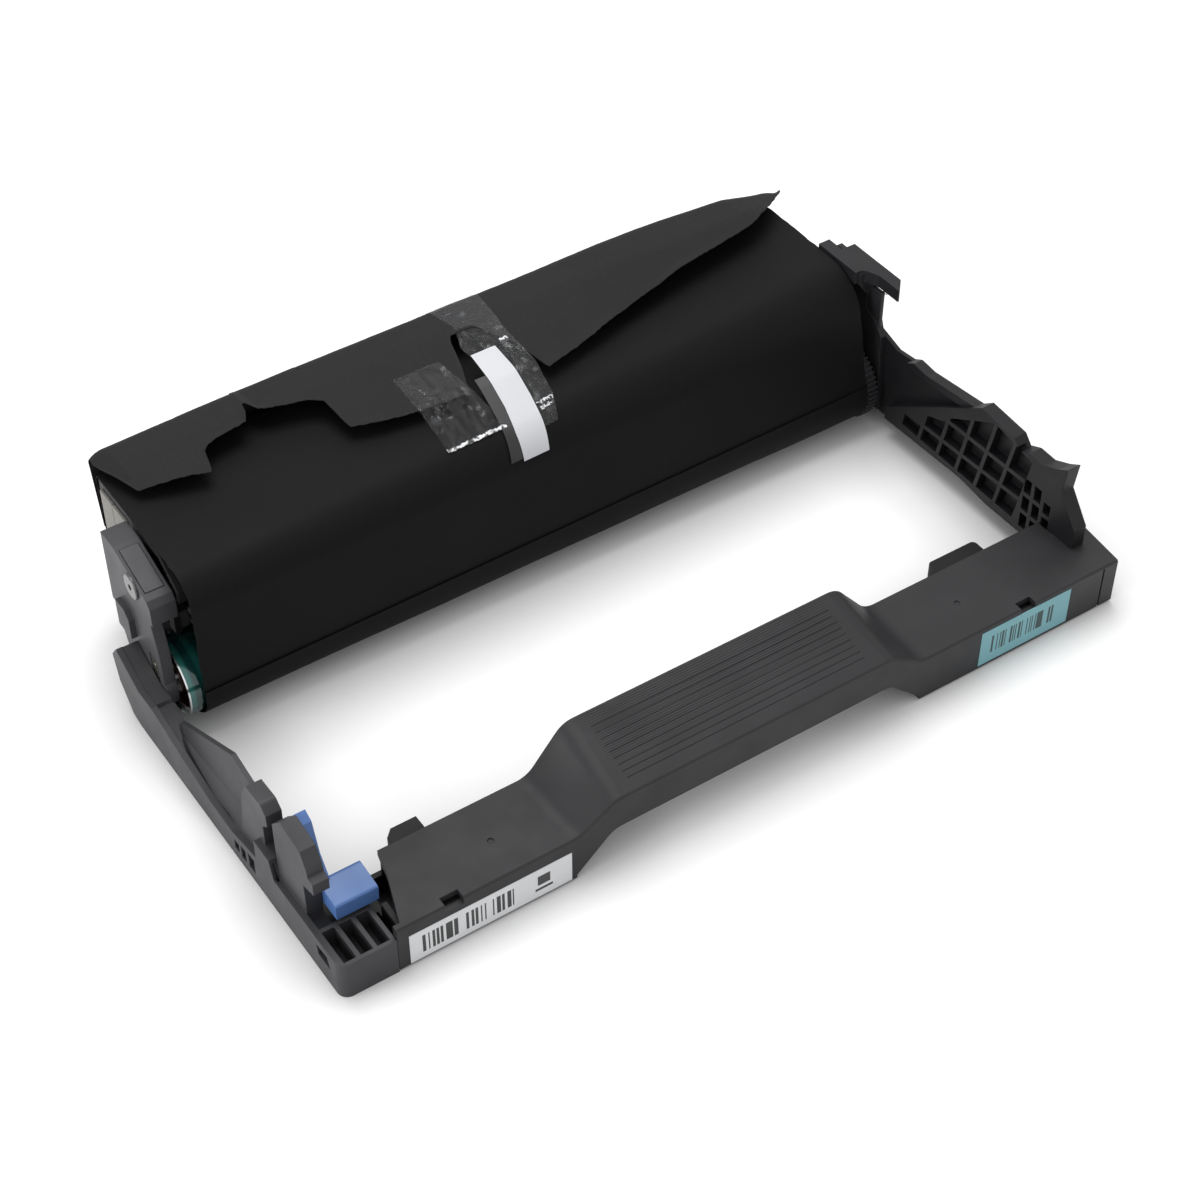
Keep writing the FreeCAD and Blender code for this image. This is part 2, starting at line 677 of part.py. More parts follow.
def make_right_arm():
    """Right side frame: tall wall with guide humps, an inner panel of lattice ribs, a foot rail."""
    body = new_body("right_arm")
    top = [
        (at(14.5), 21.3), (at(14.5), 30), (at(24), 42.5), (at(22.5), 54.5), (at(27.5), 51.4),
        (at(35), 48), (at(43), 48.3), (at(48.4), 45.8), (at(52), 49.7), (at(71), 51.3)]
    join = at(S.arm_join)
    # Outer wall
    pad(body, "YZ", RIGHT_WEB, S.web, [
        [(join, 6), (join, 21.3)] + top + [
            (at(76), 47.5), (behind(-42), 44), (behind(-34), 44.8, 1.5), (behind(-30), 42.5),
            (behind(-21), 41.5), (behind(-9.5), 45), (behind(-7), 52), (behind(10), 52),
            (behind(10), 6)]])
    # Thick panel that the lattice is sunk into
    pad(body, "YZ", RIGHT_INNER, S.arm_thick - S.web / 2, [
        [(join, 10), (join, 21.3)] + top + [
            (at(80), 45), (behind(-54), 37), (behind(-22), 15.5), (behind(-22), 9.5), (at(78), 11),
            (at(62), 9), (at(40), 9)]])
    # Flange along the top edge
    pad(body, "YZ", RIGHT_INNER + 1.5, S.arm_thick - S.web, [[
        (at(70), 51.2), (at(76), 47.5), (behind(-42), 44), (behind(-34), 44.8, 1.5),
        (behind(-30), 42.5), (behind(-34), 41), (behind(-42), 41.6), (at(76), 43)]])
    # Cells of the lattice, open to the inside
    start = at(46.5)
    span = behind(-22) - start
    columns = int(number(span) / S.rib_pitch.value)
    cells = []
    for column in range(columns):
        low = start + S.rib_pitch * column + S.web / 2
        high = low + S.rib_pitch - S.web
        for level in range(3):
            corners = lattice_cell(low, high, level, start, span)
            if corners:
                cells.append(corners)
    depth = S.arm_thick - S.web + 1
    pocket(body, "YZ", RIGHT_INNER - 1, depth, cells)
    # Small cells beside the bar, under the humps
    small = []
    for column, height in enumerate((34, 38, 38)):
        low = at(28) + S.small_cell * column
        for row in range(3):
            floor = 12 + (height - 12) / 3 * row
            small.append(rectangle(low, Size.of(floor), low + S.small_cell - S.web,
                                   floor + (height - 12) / 3 - S.web))
    pocket(body, "YZ", RIGHT_INNER - 1, depth, small)
    # Foot rail along the outside, down to the ground, with a shelf to the wall and cross ribs
    pad(body, "YZ", RIGHT - S.skin, S.skin, [[
        (join, 0), (join, 16), (at(60), 12.5), (at(92), 12.5), (behind(-13), 20), (behind(3), 26),
        (behind(16), 26), (behind(16), 0)]])
    pad(body, "YZ", RIGHT_WEB + S.web / 2, RIGHT - S.skin / 2 - RIGHT_WEB - S.web / 2, [[
        (join, 9), (join, 11.2), (at(92), 11.2), (behind(-13), 16.2), (behind(10), 16.2),
        (behind(10), 14), (behind(-13), 14), (at(92), 9)]])
    for y in (at(27), at(60), at(92), behind(-22), behind(5)):
        pad(body, "XZ", y, S.web, [rectangle(
            RIGHT_WEB + 0.5, Size.of(6.2), RIGHT - 0.5, Size.of(10))])
    return body


def wing_section(body, y, base, top):
    """Front view of the wing at one place: a hollow curve from the deck up to a thin edge."""
    rise = top - base
    return new_sketch(body, "XZ", y, [[
        (LEFT + S.skin - 0.5, base), (LEFT_INNER, base), (LEFT_INNER, top), (LEFT_INNER - S.web, top),
        (LEFT + S.skin + 2.5, base + rise * 0.35)]])


def make_left_arm():
    """Left side frame: a channel open below, with the wing, the guide blocks and the corner bay."""
    body = new_body("left_arm")
    outer = LEFT_INNER - S.arm_thick
    join = at(S.arm_join)
    bay_back = at(S.bay_depth)
    # Outer skin, down to the ground, rising to the drum
    pad(body, "YZ", LEFT, S.skin, [[
        (bay_back - 1, 0), (bay_back - 1, S.bay_top), (at(52), S.bay_top), (at(58), 15.6),
        (at(75), 11.8), (at(92), 12.4), (at(111), 16), (behind(-13), 21), (behind(-3), 20.7),
        (behind(13), 29), (behind(17.3), 23.5), (behind(14.7), 12), (behind(6.5), 1.5),
        (behind(0), 0)]])
    # Deck between the skin and the inner edge, closed at the rear, with cross ribs under it
    deck = S.deck
    pad(body, "YZ", LEFT + S.skin / 2, LEFT_INNER - LEFT - S.skin / 2, [[
        (bay_back - 1, 13.8), (at(58), 13.8), (at(75), 10.1), (at(92), 10.7), (at(111), 14.2),
        (behind(-12.5), 19), (behind(-12), 20.9), (behind(-3), 20.5), (behind(13), 28.8),
        (behind(17.1), 23.5), (behind(14.5), 12), (behind(14.5) - deck, 12),
        (behind(17.1) - deck * 1.2, 23), (behind(12.7), 28.8 - deck * 1.3), (behind(-3), 20.5 - deck),
        (behind(-12), 19 - deck), (at(111), 14.2 - deck), (at(92), 10.7 - deck), (at(75), 10.1 - deck),
        (at(58), 13.8 - deck), (bay_back - 1, 13.8 - deck)]])
    for y in (at(54), at(74), at(98), behind(-25), behind(-1)):
        pad(body, "XZ", y, S.web, [rectangle(
            LEFT + 0.5, Size.of(3), LEFT_INNER - 0.5, Size.of(9.5))])
    # Inner wall, down from the deck
    pad(body, "YZ", LEFT_INNER - S.web, S.web, [[
        (bay_back - 1, 4), (bay_back - 1, 13), (join, 13), (join, 30), (at(33), 40), (at(46), 40),
        (at(52), 33), (at(58), 13), (at(75), 9.5), (at(92), 10), (at(111), 13.5), (behind(-13), 18),
        (behind(-3), 19.5), (behind(12), 27), (behind(12), 4)]])
    # Wing, from the rear of the guide block down to the deck
    crest = wing_section(body, at(82), Size.of(9.5), S.wing_top)
    loft(body, "AdditiveLoft", wing_section(body, at(62), Size.of(11.5), S.wing_top - 4.5), crest)
    crest = wing_section(body, at(82), Size.of(9.5), S.wing_top)
    loft(body, "AdditiveLoft", crest, wing_section(body, behind(-22), Size.of(15), Size.of(17.8)))
    # Guide block with a curved nose
    pad(body, "YZ", outer, S.arm_thick, [[
        (at(53), 10), (at(53), 34), (at(49.5), 37), (at(49.5), 42), (at(53), 45, 2.5), (at(63), 44.5),
        (at(67), 38), (at(72), 12)]])
    # Cheek that carries the lever, with a step in front
    pad(body, "YZ", outer, S.arm_thick, [[
        (join, 10), (join, 31), (at(18.8), 33), (at(18.8), 38), (at(21.8), 38.6), (at(22.6), 42.3),
        (at(25.7), 47.8), (at(38.3), 50), (at(45), 43), (at(45), 10)]])
    # Outer guide that stands on the ground: a slanted, ribbed front and a level top
    foot = at(39.6)
    brow = at(46.5)
    pad(body, "YZ", LEFT, S.guide_width, [[
        (foot, 0), (brow, S.guide_top), (at(57), S.guide_top), (at(57), 0)]])
    pad(body, "YZ", LEFT + S.guide_width - 1, LEFT_INNER - S.web / 2 - LEFT - S.guide_width + 1, [
        rectangle(brow + 1, S.guide_top - deck * 2, at(57), S.guide_top - deck)])
    for step in range(3):
        place = LEFT + S.guide_rib + S.guide_rib * 2 * step
        pocket(body, "YZ", place, S.guide_rib, [[
            (foot - 1, 1), (foot + 1, 1), (brow + 0.8, S.guide_top - 1.5), (brow - 1.5, S.guide_top - 1.5)]])
    # Slots in the skin behind that guide, and a slot at the corner
    pocket(body, "YZ", LEFT - 1, S.skin + 0.5, [
        rectangle(at(59), Size.of(5), at(63.5), Size.of(12)),
        rectangle(at(65.5), Size.of(4.5), at(69), Size.of(10.5)),
        rectangle(at(70.5), Size.of(4.5), at(74), Size.of(9))])
    # Corner bay, flush with the front face of the bar, with ribs from front to back
    corner_right = COVER_LEFT - S.fit_gap
    pad(body, "XY", Size.of(0), S.bay_top, [[
        (LEFT, FRONT, S.corner_round), (corner_right, FRONT), (corner_right, bay_back), (LEFT, bay_back)]])
    bay_left = LEFT + S.skin
    slot = (corner_right - bay_left - S.bay_rib * 3) / 3
    slots = []
    for step in range(3):
        low = bay_left + (slot + S.bay_rib) * step
        slots.append(rectangle(low, FRONT + S.bay_rib, low + slot, bay_back - S.bay_rib))
    pocket(body, "XY", S.bay_floor, S.bar_height, slots)
    pocket(body, "YZ", LEFT - 1, S.skin + 0.5, [[
        (at(7), 8.5), (at(15), 8.5), (at(16), 13), (at(9), 13.5)]])
    # Bore for the pivot stub of the lever
    pocket(body, "YZ", LEFT_INNER - 4.2, Size.of(5), circles=[
        (PIVOT_Y, PIVOT_Z, S.pivot_radius + S.shaft_gap)])
    return body


# Ends of the drum and cleaner box


def make_left_end_cap():
    """Upright bracket that closes the left end and holds the shaft."""
    body = new_body("left_end_cap")
    top = S.cap_height
    low_width = DRUM_LEFT - 1 - CAP_LEFT
    # Upper shell, over the full width
    pad(body, "YZ", CAP_LEFT, S.cap_width, [[
        (behind(31), above(18.5)), (behind(31), top), (behind(21), top), (behind(-3), top - 7.5),
        (behind(-5), top - 10), (behind(-5), above(32.5)), (behind(3), above(31)),
        (behind(5), above(18.5))]])
    pocket(body, "YZ", CAP_LEFT + S.tray_wall, S.cap_width, [[
        (behind(28.8), above(17)), (behind(28.8), top - 2.4), (behind(21.5), top - 2.4),
        (behind(-1), top - 9.4), (behind(5.5), above(33)), (behind(7.2), above(17))]])
    # Column beside the drum, and the eye of the shaft
    pad(body, "YZ", CAP_LEFT, low_width, [[
        (behind(-3), above(33)), (behind(-6), above(20)), (behind(-7), above(5)), (behind(5), above(-5)),
        (behind(21), above(-5)), (behind(26), above(9)), (behind(26), above(20)), (behind(12), above(33))]])
    eye = S.hub_radius + 2.5
    pad(body, "YZ", CAP_LEFT, low_width, [[
        (DRUM_Y, DRUM_Z - eye), (behind(8), above(-5)), (behind(8), above(16)), (behind(2), above(14)),
        (DRUM_Y - eye, DRUM_Z)]])
    pad(body, "YZ", CAP_LEFT, low_width, circles=[(DRUM_Y, DRUM_Z, eye)])
    pocket(body, "YZ", CAP_LEFT - 1, S.cap_width + 2, circles=[
        (DRUM_Y, DRUM_Z, S.shaft_radius + S.shaft_gap)])
    # Lug on the outside, over the rear end of the arm
    pad(body, "YZ", CAP_LEFT - S.lug_reach, S.lug_reach + 1, [[
        (behind(12), above(14)), (behind(12), above(23)), (behind(15), above(26)), (behind(22), above(26)),
        (behind(22), above(14))]])
    # Seat of the ground strip, from the end of the shaft upwards
    half = S.shaft_radius + S.fit_gap
    pocket(body, "YZ", CAP_LEFT - 1, S.strip_seat + 1, [rectangle(
        DRUM_Y - half, DRUM_Z - half, DRUM_Y + half, above(14) + S.fit_gap)])
    # Hollow under the column, so that the wall is even
    pocket(body, "YZ", CAP_LEFT + S.tray_wall, low_width, [[
        (behind(9.5), above(17)), (behind(9.5), above(-2.5)), (behind(19.5), above(-2.5)),
        (behind(23.5), above(9.5)), (behind(23.5), above(17))]])
    # Seat of the flat panel on the slope
    slope = 7.5 / 24
    seat = S.label_thick * 6
    pocket(body, "YZ", CAP_LEFT + 1.2, S.cap_width - 2.4, [[
        (behind(0), top - 7.5 + slope * 3 - seat), (behind(19), top - 7.5 + slope * 22 - seat),
        (behind(19), top + 2), (behind(0), top + 2)]])
    # Bore of the guide boss
    pocket(body, "YZ", CAP_LEFT - 1, S.tray_wall + 2, circles=[(BOSS_Y, BOSS_Z, S.boss_stub)])
    return body


def make_left_cap_panel():
    """Flat cover let into the slope of the left end cap."""
    body = new_body("left_cap_panel")
    top = S.cap_height
    slope = 7.5 / 24
    seat = S.label_thick * 6
    pad(body, "YZ", CAP_LEFT + 1.2 + S.fit_gap, S.cap_width - 2.4 - S.fit_gap * 2, [[
        (behind(0.2), top - 7.5 + slope * 3.2 - seat), (behind(18.8), top - 7.5 + slope * 21.8 - seat),
        (behind(18.8), top - 7.5 + slope * 21.8 + 0.2), (behind(0.2), top - 7.5 + slope * 3.2 + 0.2)]])
    return body


BOSS_Y = DRUM_Y + 8
BOSS_Z = DRUM_Z + 42


def make_left_guide_boss():
    """Glossy bush pressed into the outer side of the left end cap: a low disc with an eye."""
    body = new_body("left_guide_boss")
    disc = S.boss_reach
    pad(body, "YZ", CAP_LEFT - disc, disc, circles=[(BOSS_Y, BOSS_Z, S.boss_radius)])
    pad(body, "YZ", CAP_LEFT - disc / 2, S.tray_wall + disc / 2, circles=[
        (BOSS_Y, BOSS_Z, S.boss_stub - S.shaft_gap)])
    pocket(body, "YZ", CAP_LEFT - disc * 2, disc * 2 + 1, circles=[(BOSS_Y, BOSS_Z, S.boss_stub / 2)])
    soften(body, "Chamfer", disc / 3, lambda edge: (
        near(edge.BoundBox.XMax, CAP_LEFT - disc) and near(edge.BoundBox.YMin, BOSS_Y - S.boss_radius)))
    return body


PIN_X = RIGHT - 9
PIN_Y = DRUM_Y - 11
PIN_RADIUS = Size.of(1.2)


def make_right_end_bracket():
    """Right bracket: roof over the gear side, and the wall that holds the shaft."""
    body = new_body("right_end_bracket")
    top = S.bracket_height
    inner = RIGHT - S.paper_right_in + 0.7
    outer = inner + S.bracket_width
    pad(body, "XY", top - S.bracket_roof, S.bracket_roof, [[
        (inner, behind(-20.5)), (outer - 4.5, behind(-20.5)), (outer, behind(-15.5)),
        (outer, behind(13.7)), (outer - 6.5, behind(13.7)), (outer - 6.5, behind(21.8)),
        (inner, behind(21.8))]])
    # Arch cut into the front of the roof, on the side of the paper
    pocket(body, "XY", top - S.bracket_roof - 1, S.bracket_roof + 2, [[
        (inner - 1, behind(-21.5)), (outer - 5.2, behind(-21.5)), (outer - 5.2, behind(-9), 3),
        (outer - 8, behind(-2), 3), (inner - 1, behind(-2))]])
    pad(body, "YZ", WALL_X, S.tray_wall, [[
        (behind(-9), top - 1), (behind(-2.5), 60), (behind(-2.5), 53), (behind(-9), 49.5),
        (behind(-13), 44), (behind(-15), above(-9)), (behind(13), above(-9)), (behind(18), above(3)),
        (behind(26), above(20)), (behind(26), above(46)), (behind(18), top - 1)]])
    pocket(body, "YZ", WALL_X - 1, S.tray_wall + 2, circles=[
        (DRUM_Y, DRUM_Z, S.shaft_radius + S.shaft_gap)] + [
        (y, z, S.screw_radius + S.fit_gap) for y, z in end_screw_places()])
    # Blind hole for the pin
    pocket(body, "XY", top - S.bracket_roof - 1, Size.of(4), circles=[
        (PIN_X, PIN_Y, PIN_RADIUS + S.shaft_gap)])
    # Web between roof and wall
    pad(body, "XZ", behind(-3), S.tray_wall, [[
        (WALL_X + 1, top - 14), (inner + 1.5, top - S.bracket_roof), (inner + 1.5, top - 1),
        (WALL_X + 1, top - 1)]])
    return body


def end_screw_places():
    """Where the two screws of the right bracket go, as (y, z)."""
    return [(behind(22), above(26)), (behind(22), above(42))]


def make_bracket_pin():
    """Small steel locating pin under the roof of the right bracket."""
    low = S.bracket_height - S.bracket_roof - 2.5
    pin = rod("bracket_pin", PIN_X, PIN_Y, low, PIN_RADIUS, Size.of(5.5), "z")
    pin.Label = "bracket_pin"
    return pin


def make_end_screws():
    """Two screws that hold the right bracket on the bosses of the cleaner box."""
    screws = []
    face = WALL_X + S.tray_wall
    for index, (y, z) in enumerate(end_screw_places()):
        head = rod("EndHead%d" % index, face, y, z, S.head_radius, S.head_height)
        thread = rod("EndThread%d" % index, face - 12, y, z, S.screw_radius - S.shaft_gap, Size.of(12.5))
        screws.append(fuse("EndScrew%d" % index, head, thread))
    return group("end_screws", screws)


# Drum


def make_drum():
    """Drum tube, its left flange, and the gear flange on the right."""
    bore = S.shaft_radius + S.shaft_gap
    plug = S.drum_radius - S.drum_wall
    tube = new_body("drum_tube")
    pad(tube, "YZ", DRUM_LEFT, DRUM_RIGHT - DRUM_LEFT, circles=[
        (DRUM_Y, DRUM_Z, S.drum_radius), (DRUM_Y, DRUM_Z, plug)])
    flange = new_body("drum_flange")
    pad(flange, "YZ", DRUM_LEFT + 1.5, S.flange_depth, circles=[
        (DRUM_Y, DRUM_Z, plug), (DRUM_Y, DRUM_Z, bore)])
    pocket(flange, "YZ", DRUM_LEFT, S.flange_depth - 3, circles=[
        (DRUM_Y, DRUM_Z, plug - 1.8), (DRUM_Y, DRUM_Z, S.hub_radius)])
    gear = new_body("drum_gear")
    root = S.gear_radius - S.tooth_height
    face = DRUM_RIGHT + 1.4
    pad(gear, "YZ", DRUM_RIGHT - S.flange_depth, S.flange_depth + 1.6, circles=[
        (DRUM_Y, DRUM_Z, plug), (DRUM_Y, DRUM_Z, bore)])
    pad(gear, "YZ", face, S.gear_width, circles=[(DRUM_Y, DRUM_Z, root), (DRUM_Y, DRUM_Z, bore)])
    half = root * turn("tan", 180 / S.tooth_count) * 0.55
    tooth = pad(gear, "YZ", face, S.gear_width, [[
        (DRUM_Y - half, DRUM_Z + root - 0.5), (DRUM_Y + half, DRUM_Z + root - 0.5),
        (DRUM_Y + half, DRUM_Z + root), (DRUM_Y + half * 0.5, DRUM_Z + S.gear_radius),
        (DRUM_Y - half * 0.5, DRUM_Z + S.gear_radius), (DRUM_Y - half, DRUM_Z + root)]])
    circle_pattern(gear, tooth, DRUM_Y, DRUM_Z, S.tooth_count)
    return tube, flange, gear


def make_drum_shaft():
    """Steel shaft held by the left cap and the right bracket; the drum turns on it."""
    start = CAP_LEFT + S.strip_seat
    shaft = rod("drum_shaft", start, DRUM_Y, DRUM_Z, S.shaft_radius, WALL_X + S.tray_wall - 0.2 - start)
    shaft.Label = "drum_shaft"
    return shaft


def make_ground_strip():
    """Springy contact strip from the left end of the shaft up the outside of the end cap."""
    body = new_body("ground_strip")
    half = S.shaft_radius
    thick = S.label_thick * 2
    pad(body, "YZ", CAP_LEFT + S.strip_seat - thick, thick, [[
        (DRUM_Y - half, DRUM_Z - half, 2), (DRUM_Y + half, DRUM_Z - half, 2),
        (DRUM_Y + half, above(12), 1), (DRUM_Y + half - 1.5, above(14)),
        (DRUM_Y - half + 1.5, above(14)), (DRUM_Y - half, above(12), 1)]])
    pocket(body, "YZ", CAP_LEFT, S.cap_width, circles=[(DRUM_Y, above(10), Size.of(0.8))])
    return body


# Charge roller

COIL_STEPS = 10
WIRE_SIDES = 6
SHARP_CORNERS = 1


def make_charge_roller():
    """Soft roller on its steel shaft, and its two bearings."""
    left = BOX_LEFT + S.roller_end_gap
    right = BOX_RIGHT - S.roller_end_gap
    roller = new_body("charge_roller")
    pad(roller, "YZ", left, right - left, circles=[
        (ROLLER_Y, ROLLER_Z, S.roller_radius), (ROLLER_Y, ROLLER_Z, S.roller_shaft_radius)])
    ear = S.box_wall + S.running_gap
    shaft = rod("charge_roller_shaft", BOX_LEFT + ear, ROLLER_Y, ROLLER_Z, S.roller_shaft_radius,
                BOX_RIGHT - BOX_LEFT - ear * 2)
    shaft.Label = "charge_roller_shaft"
    half = S.bearing_size / 2
    square = rectangle(ROLLER_Y - half, ROLLER_Z - half + 1.2, ROLLER_Y + half, ROLLER_Z + half)
    bearings = []
    for side, x in (("Left", BOX_LEFT + S.box_wall + S.fit_gap),
                    ("Right", BOX_RIGHT - S.box_wall - S.fit_gap - S.bearing_width)):
        bearing = new_body("Bearing" + side)
        pad(bearing, "YZ", x, S.bearing_width, [square], [
            (ROLLER_Y, ROLLER_Z, S.roller_shaft_radius + S.shaft_gap)])
        bearings.append(bearing)
    return roller, shaft, group("roller_bearings", bearings)


def around(count, index):
    """Cosine and sine of one of so many even steps round a circle."""
    angle = 2 * math.pi * index / count
    return math.cos(angle), math.sin(angle)


def coil(x, y, z, radius, length, turns, wire):
    """A compression spring that stands on a place, wound in short straight lengths of wire."""
    steps = turns * COIL_STEPS
    points = []
    for index in range(steps + 1):
        across, away = around(COIL_STEPS, index)
        points.append(FreeCAD.Vector(radius * across, radius * away, (length - wire) * index / steps))
    along = (points[1] - points[0]).normalize()
    side = along.cross(FreeCAD.Vector(0, 0, 1)).normalize()
    up = side.cross(along)
    ring = []
    for index in range(WIRE_SIDES):
        across, away = around(WIRE_SIDES, index)
        ring.append(points[0] + (side * across + up * away) * (wire / 2))
    section = Part.makePolygon(ring + ring[:1])
    shape = Part.makePolygon(points).makePipeShell([section], True, True, SHARP_CORNERS)
    shape.Placement = FreeCAD.Placement(FreeCAD.Vector(x, y, z + wire / 2), FreeCAD.Rotation())
    return shape


def make_roller_springs():
    """Two springs that press the roller bearings towards the drum."""
    wire = number(S.wire)
    springs = []
    low = number(ROLLER_Z + S.bearing_size / 2) + 0.1
    for x in (BOX_LEFT + S.box_wall + S.fit_gap + S.bearing_width / 2,
              BOX_RIGHT - S.box_wall - S.fit_gap - S.bearing_width / 2):
        springs.append(coil(number(x), number(ROLLER_Y), low, number(S.spring_radius) - 0.5,
                            number(S.spring_length), 4, wire))
    return wound("roller_springs", springs)


def wound(label, springs):
    """A node of springs, each already in its place."""
    feature = DOC.addObject("Part::Feature", "Wound_" + label)
    feature.Label = label
    feature.Shape = Part.makeCompound(springs)
    feature.Placement = FreeCAD.Placement()
    return feature


# Cleaner box


def make_cleaner_housing():
    """Waste toner trough with closed ends, ears for the roller and bosses for the bracket."""
    body = new_body("cleaner_housing")
    wall = S.box_wall
    length = BOX_RIGHT - BOX_LEFT
    pad(body, "YZ", BOX_LEFT, length, [[
        (BOX_FRONT, S.box_bottom), (BOX_FRONT, S.box_top), (BOX_REAR, S.box_top),
        (BOX_REAR, S.box_bottom + 4), (BOX_REAR - 4, S.box_bottom)]])
    pocket(body, "YZ", BOX_LEFT + wall, length - wall * 2, [[
        (BOX_FRONT + wall, S.box_bottom + wall), (BOX_FRONT + wall, S.box_top + 1),
        (BOX_REAR - wall, S.box_top + 1), (BOX_REAR - wall, S.box_bottom + 5), (
            BOX_REAR - 5, S.box_bottom + wall)]])
    # Inlet under the blade
    pocket(body, "XZ", BOX_FRONT - 1, wall + 2, [rectangle(
        BOX_LEFT + wall, S.box_bottom + 6, BOX_RIGHT - wall, above(11))])
    # Ears in front of the box, with a shelf over each bearing
    shelf = ROLLER_Z + S.bearing_size / 2 + S.spring_length + 0.3
    half = S.bearing_size / 2
    for x, shelf_x in ((BOX_LEFT, BOX_LEFT), (BOX_RIGHT - wall, BOX_RIGHT - wall - S.bearing_width - 1)):
        pad(body, "YZ", x, wall, [[
            (ROLLER_Y - half - 2, above(16)), (BOX_FRONT + 1, above(16)), (BOX_FRONT + 1, shelf + 4),
            (ROLLER_Y - half - 2, shelf + 4)]])
        pad(body, "YZ", shelf_x, wall + S.bearing_width + 1, [rectangle(
            ROLLER_Y - half, shelf, ROLLER_Y + half, shelf + wall)])
    # Bosses for the two screws of the right bracket
    pad(body, "YZ", BOX_RIGHT - 0.5, WALL_X - BOX_RIGHT + 0.5, circles=[
        (y, z, S.head_radius) for y, z in end_screw_places()])
    pocket(body, "YZ", WALL_X - 11, Size.of(12), circles=[
        (y, z, S.screw_radius) for y, z in end_screw_places()])
    return body


def make_cleaner_lid():
    """Roof over the trough and the roller, bent down in front."""
    body = new_body("cleaner_lid")
    top = LID_TOP
    thick = S.lid_thick
    pad(body, "YZ", BOX_LEFT, BOX_RIGHT - BOX_LEFT, [[
        (behind(-4.5), top - 14), (behind(-4.5), top - 9), (behind(8), top), (BOX_REAR, top),
        (BOX_REAR, top - thick), (behind(8.8), top - thick), (behind(-2.3), top - 10),
        (behind(-2.3), top - 14)]])
    return body


def make_blade():
    """Steel plate, rubber blade, end seals and recovery film."""
    long_left = BOX_LEFT + S.roller_end_gap - 1
    long_right = BOX_RIGHT - S.roller_end_gap + 1
    face = BOX_FRONT - S.plate_thick
    low = above(13)
    holder = new_body("blade_holder")
    shelf = ROLLER_Z + S.bearing_size / 2 + 2
    pad(holder, "YZ", long_left, long_right - long_left, [[
        (face, low), (BOX_FRONT, low), (BOX_FRONT, shelf + S.plate_thick),
        (face - 7, shelf + S.plate_thick), (face - 7, shelf), (face, shelf)]])
    tip = S.drum_radius + S.running_gap
    tip_y = DRUM_Y + tip * turn("cos", S.roller_aim / 2.6)
    tip_z = DRUM_Z + tip * turn("sin", S.roller_aim / 2.6)
    blade = new_body("cleaning_blade")
    pad(blade, "YZ", long_left, long_right - long_left, [[
        (tip_y, tip_z), (tip_y + S.blade_thick, tip_z + 0.3), (face, low + 1),
        (face, low + 5), (face - S.blade_thick, low + 5), (face - S.blade_thick, low)]])
    film = new_body("recovery_film")
    film_tip_y = DRUM_Y + (S.drum_radius + S.running_gap) * turn("cos", S.roller_aim / 4)
    film_tip_z = DRUM_Z - (S.drum_radius + S.running_gap) * turn("sin", S.roller_aim / 4)
    pad(film, "YZ", long_left, long_right - long_left, [[
        (film_tip_y + 0.2, film_tip_z), (BOX_FRONT, S.box_bottom + 1), (BOX_FRONT, S.box_bottom + 5),
        (BOX_FRONT - S.film_thick, S.box_bottom + 5),
        (BOX_FRONT - S.film_thick, S.box_bottom + 1.5), (film_tip_y + 0.2, film_tip_z + S.film_thick)]])
    seals = []
    for side, x in (("Left", BOX_LEFT + S.box_wall), ("Right", long_right + 0.2)):
        seal = new_body("Seal" + side)
        pad(seal, "YZ", x, S.roller_end_gap - 1.2 - S.box_wall, [[
            (behind(15.8), above(0)), (BOX_FRONT, above(0)), (BOX_FRONT, above(14)),
            (BOX_FRONT - 2, above(14))]])
        seals.append(seal)
    return holder, blade, film, group("blade_seals", seals)


def make_end_foam():
    """Two pale foam pads on the left end of the box, seen in the open end of the paper."""
    pads = []
    split = behind(44)
    thick = S.foam_thick
    for side, front, back in (("Front", behind(33), split), ("Rear", split + S.fit_gap * 2, BOX_REAR - 2)):
        foam = new_body("Foam" + side)
        pad(foam, "YZ", BOX_LEFT - thick, thick, [rectangle(front, above(14), back, S.box_top - 1)])
        pads.append(foam)
    return group("end_foam", pads)


# Protective paper

PAPER_LEFT = LEFT + S.paper_left_in
PAPER_RIGHT = RIGHT - S.paper_right_in
PAPER_RADIUS = S.drum_radius + S.paper_gap + S.paper_thick
PAPER_TOP = LID_TOP + S.paper_gap + 1 + S.paper_thick
PAPER_RIDGE = PAPER_TOP + S.ridge_rise


def sleeve_profile(lean, inset):
    """End view of the sleeve, round the drum and the cleaner box, or a line inside it."""
    radius = PAPER_RADIUS - inset
    top = PAPER_TOP - inset
    slope = turn("tan", lean)
    reach = radius / turn("cos", lean)
    front_y = DRUM_Y - reach + (top - DRUM_Z) * slope
    back = BOX_REAR + S.paper_gap + S.paper_thick - inset
    bottom = DRUM_Z - radius
    return [
        (DRUM_Y - reach - radius * slope, bottom, radius),
        (front_y, top, 9 - inset),
        (back, top, 3 - inset),
        (back, S.box_bottom - 1 + inset, 6 - inset),
        (behind(5), bottom, 30 + inset),
    ]


def flap_line(lift):
    """Upper side of the flaps from their front edge to the fold, or a line above it."""
    ridge = PAPER_RIDGE + lift
    return [(behind(4), ridge - 5.5), (behind(30), ridge - 1.5), (behind(45), ridge + 1),
            (REAR - 4, ridge + 0.4)]


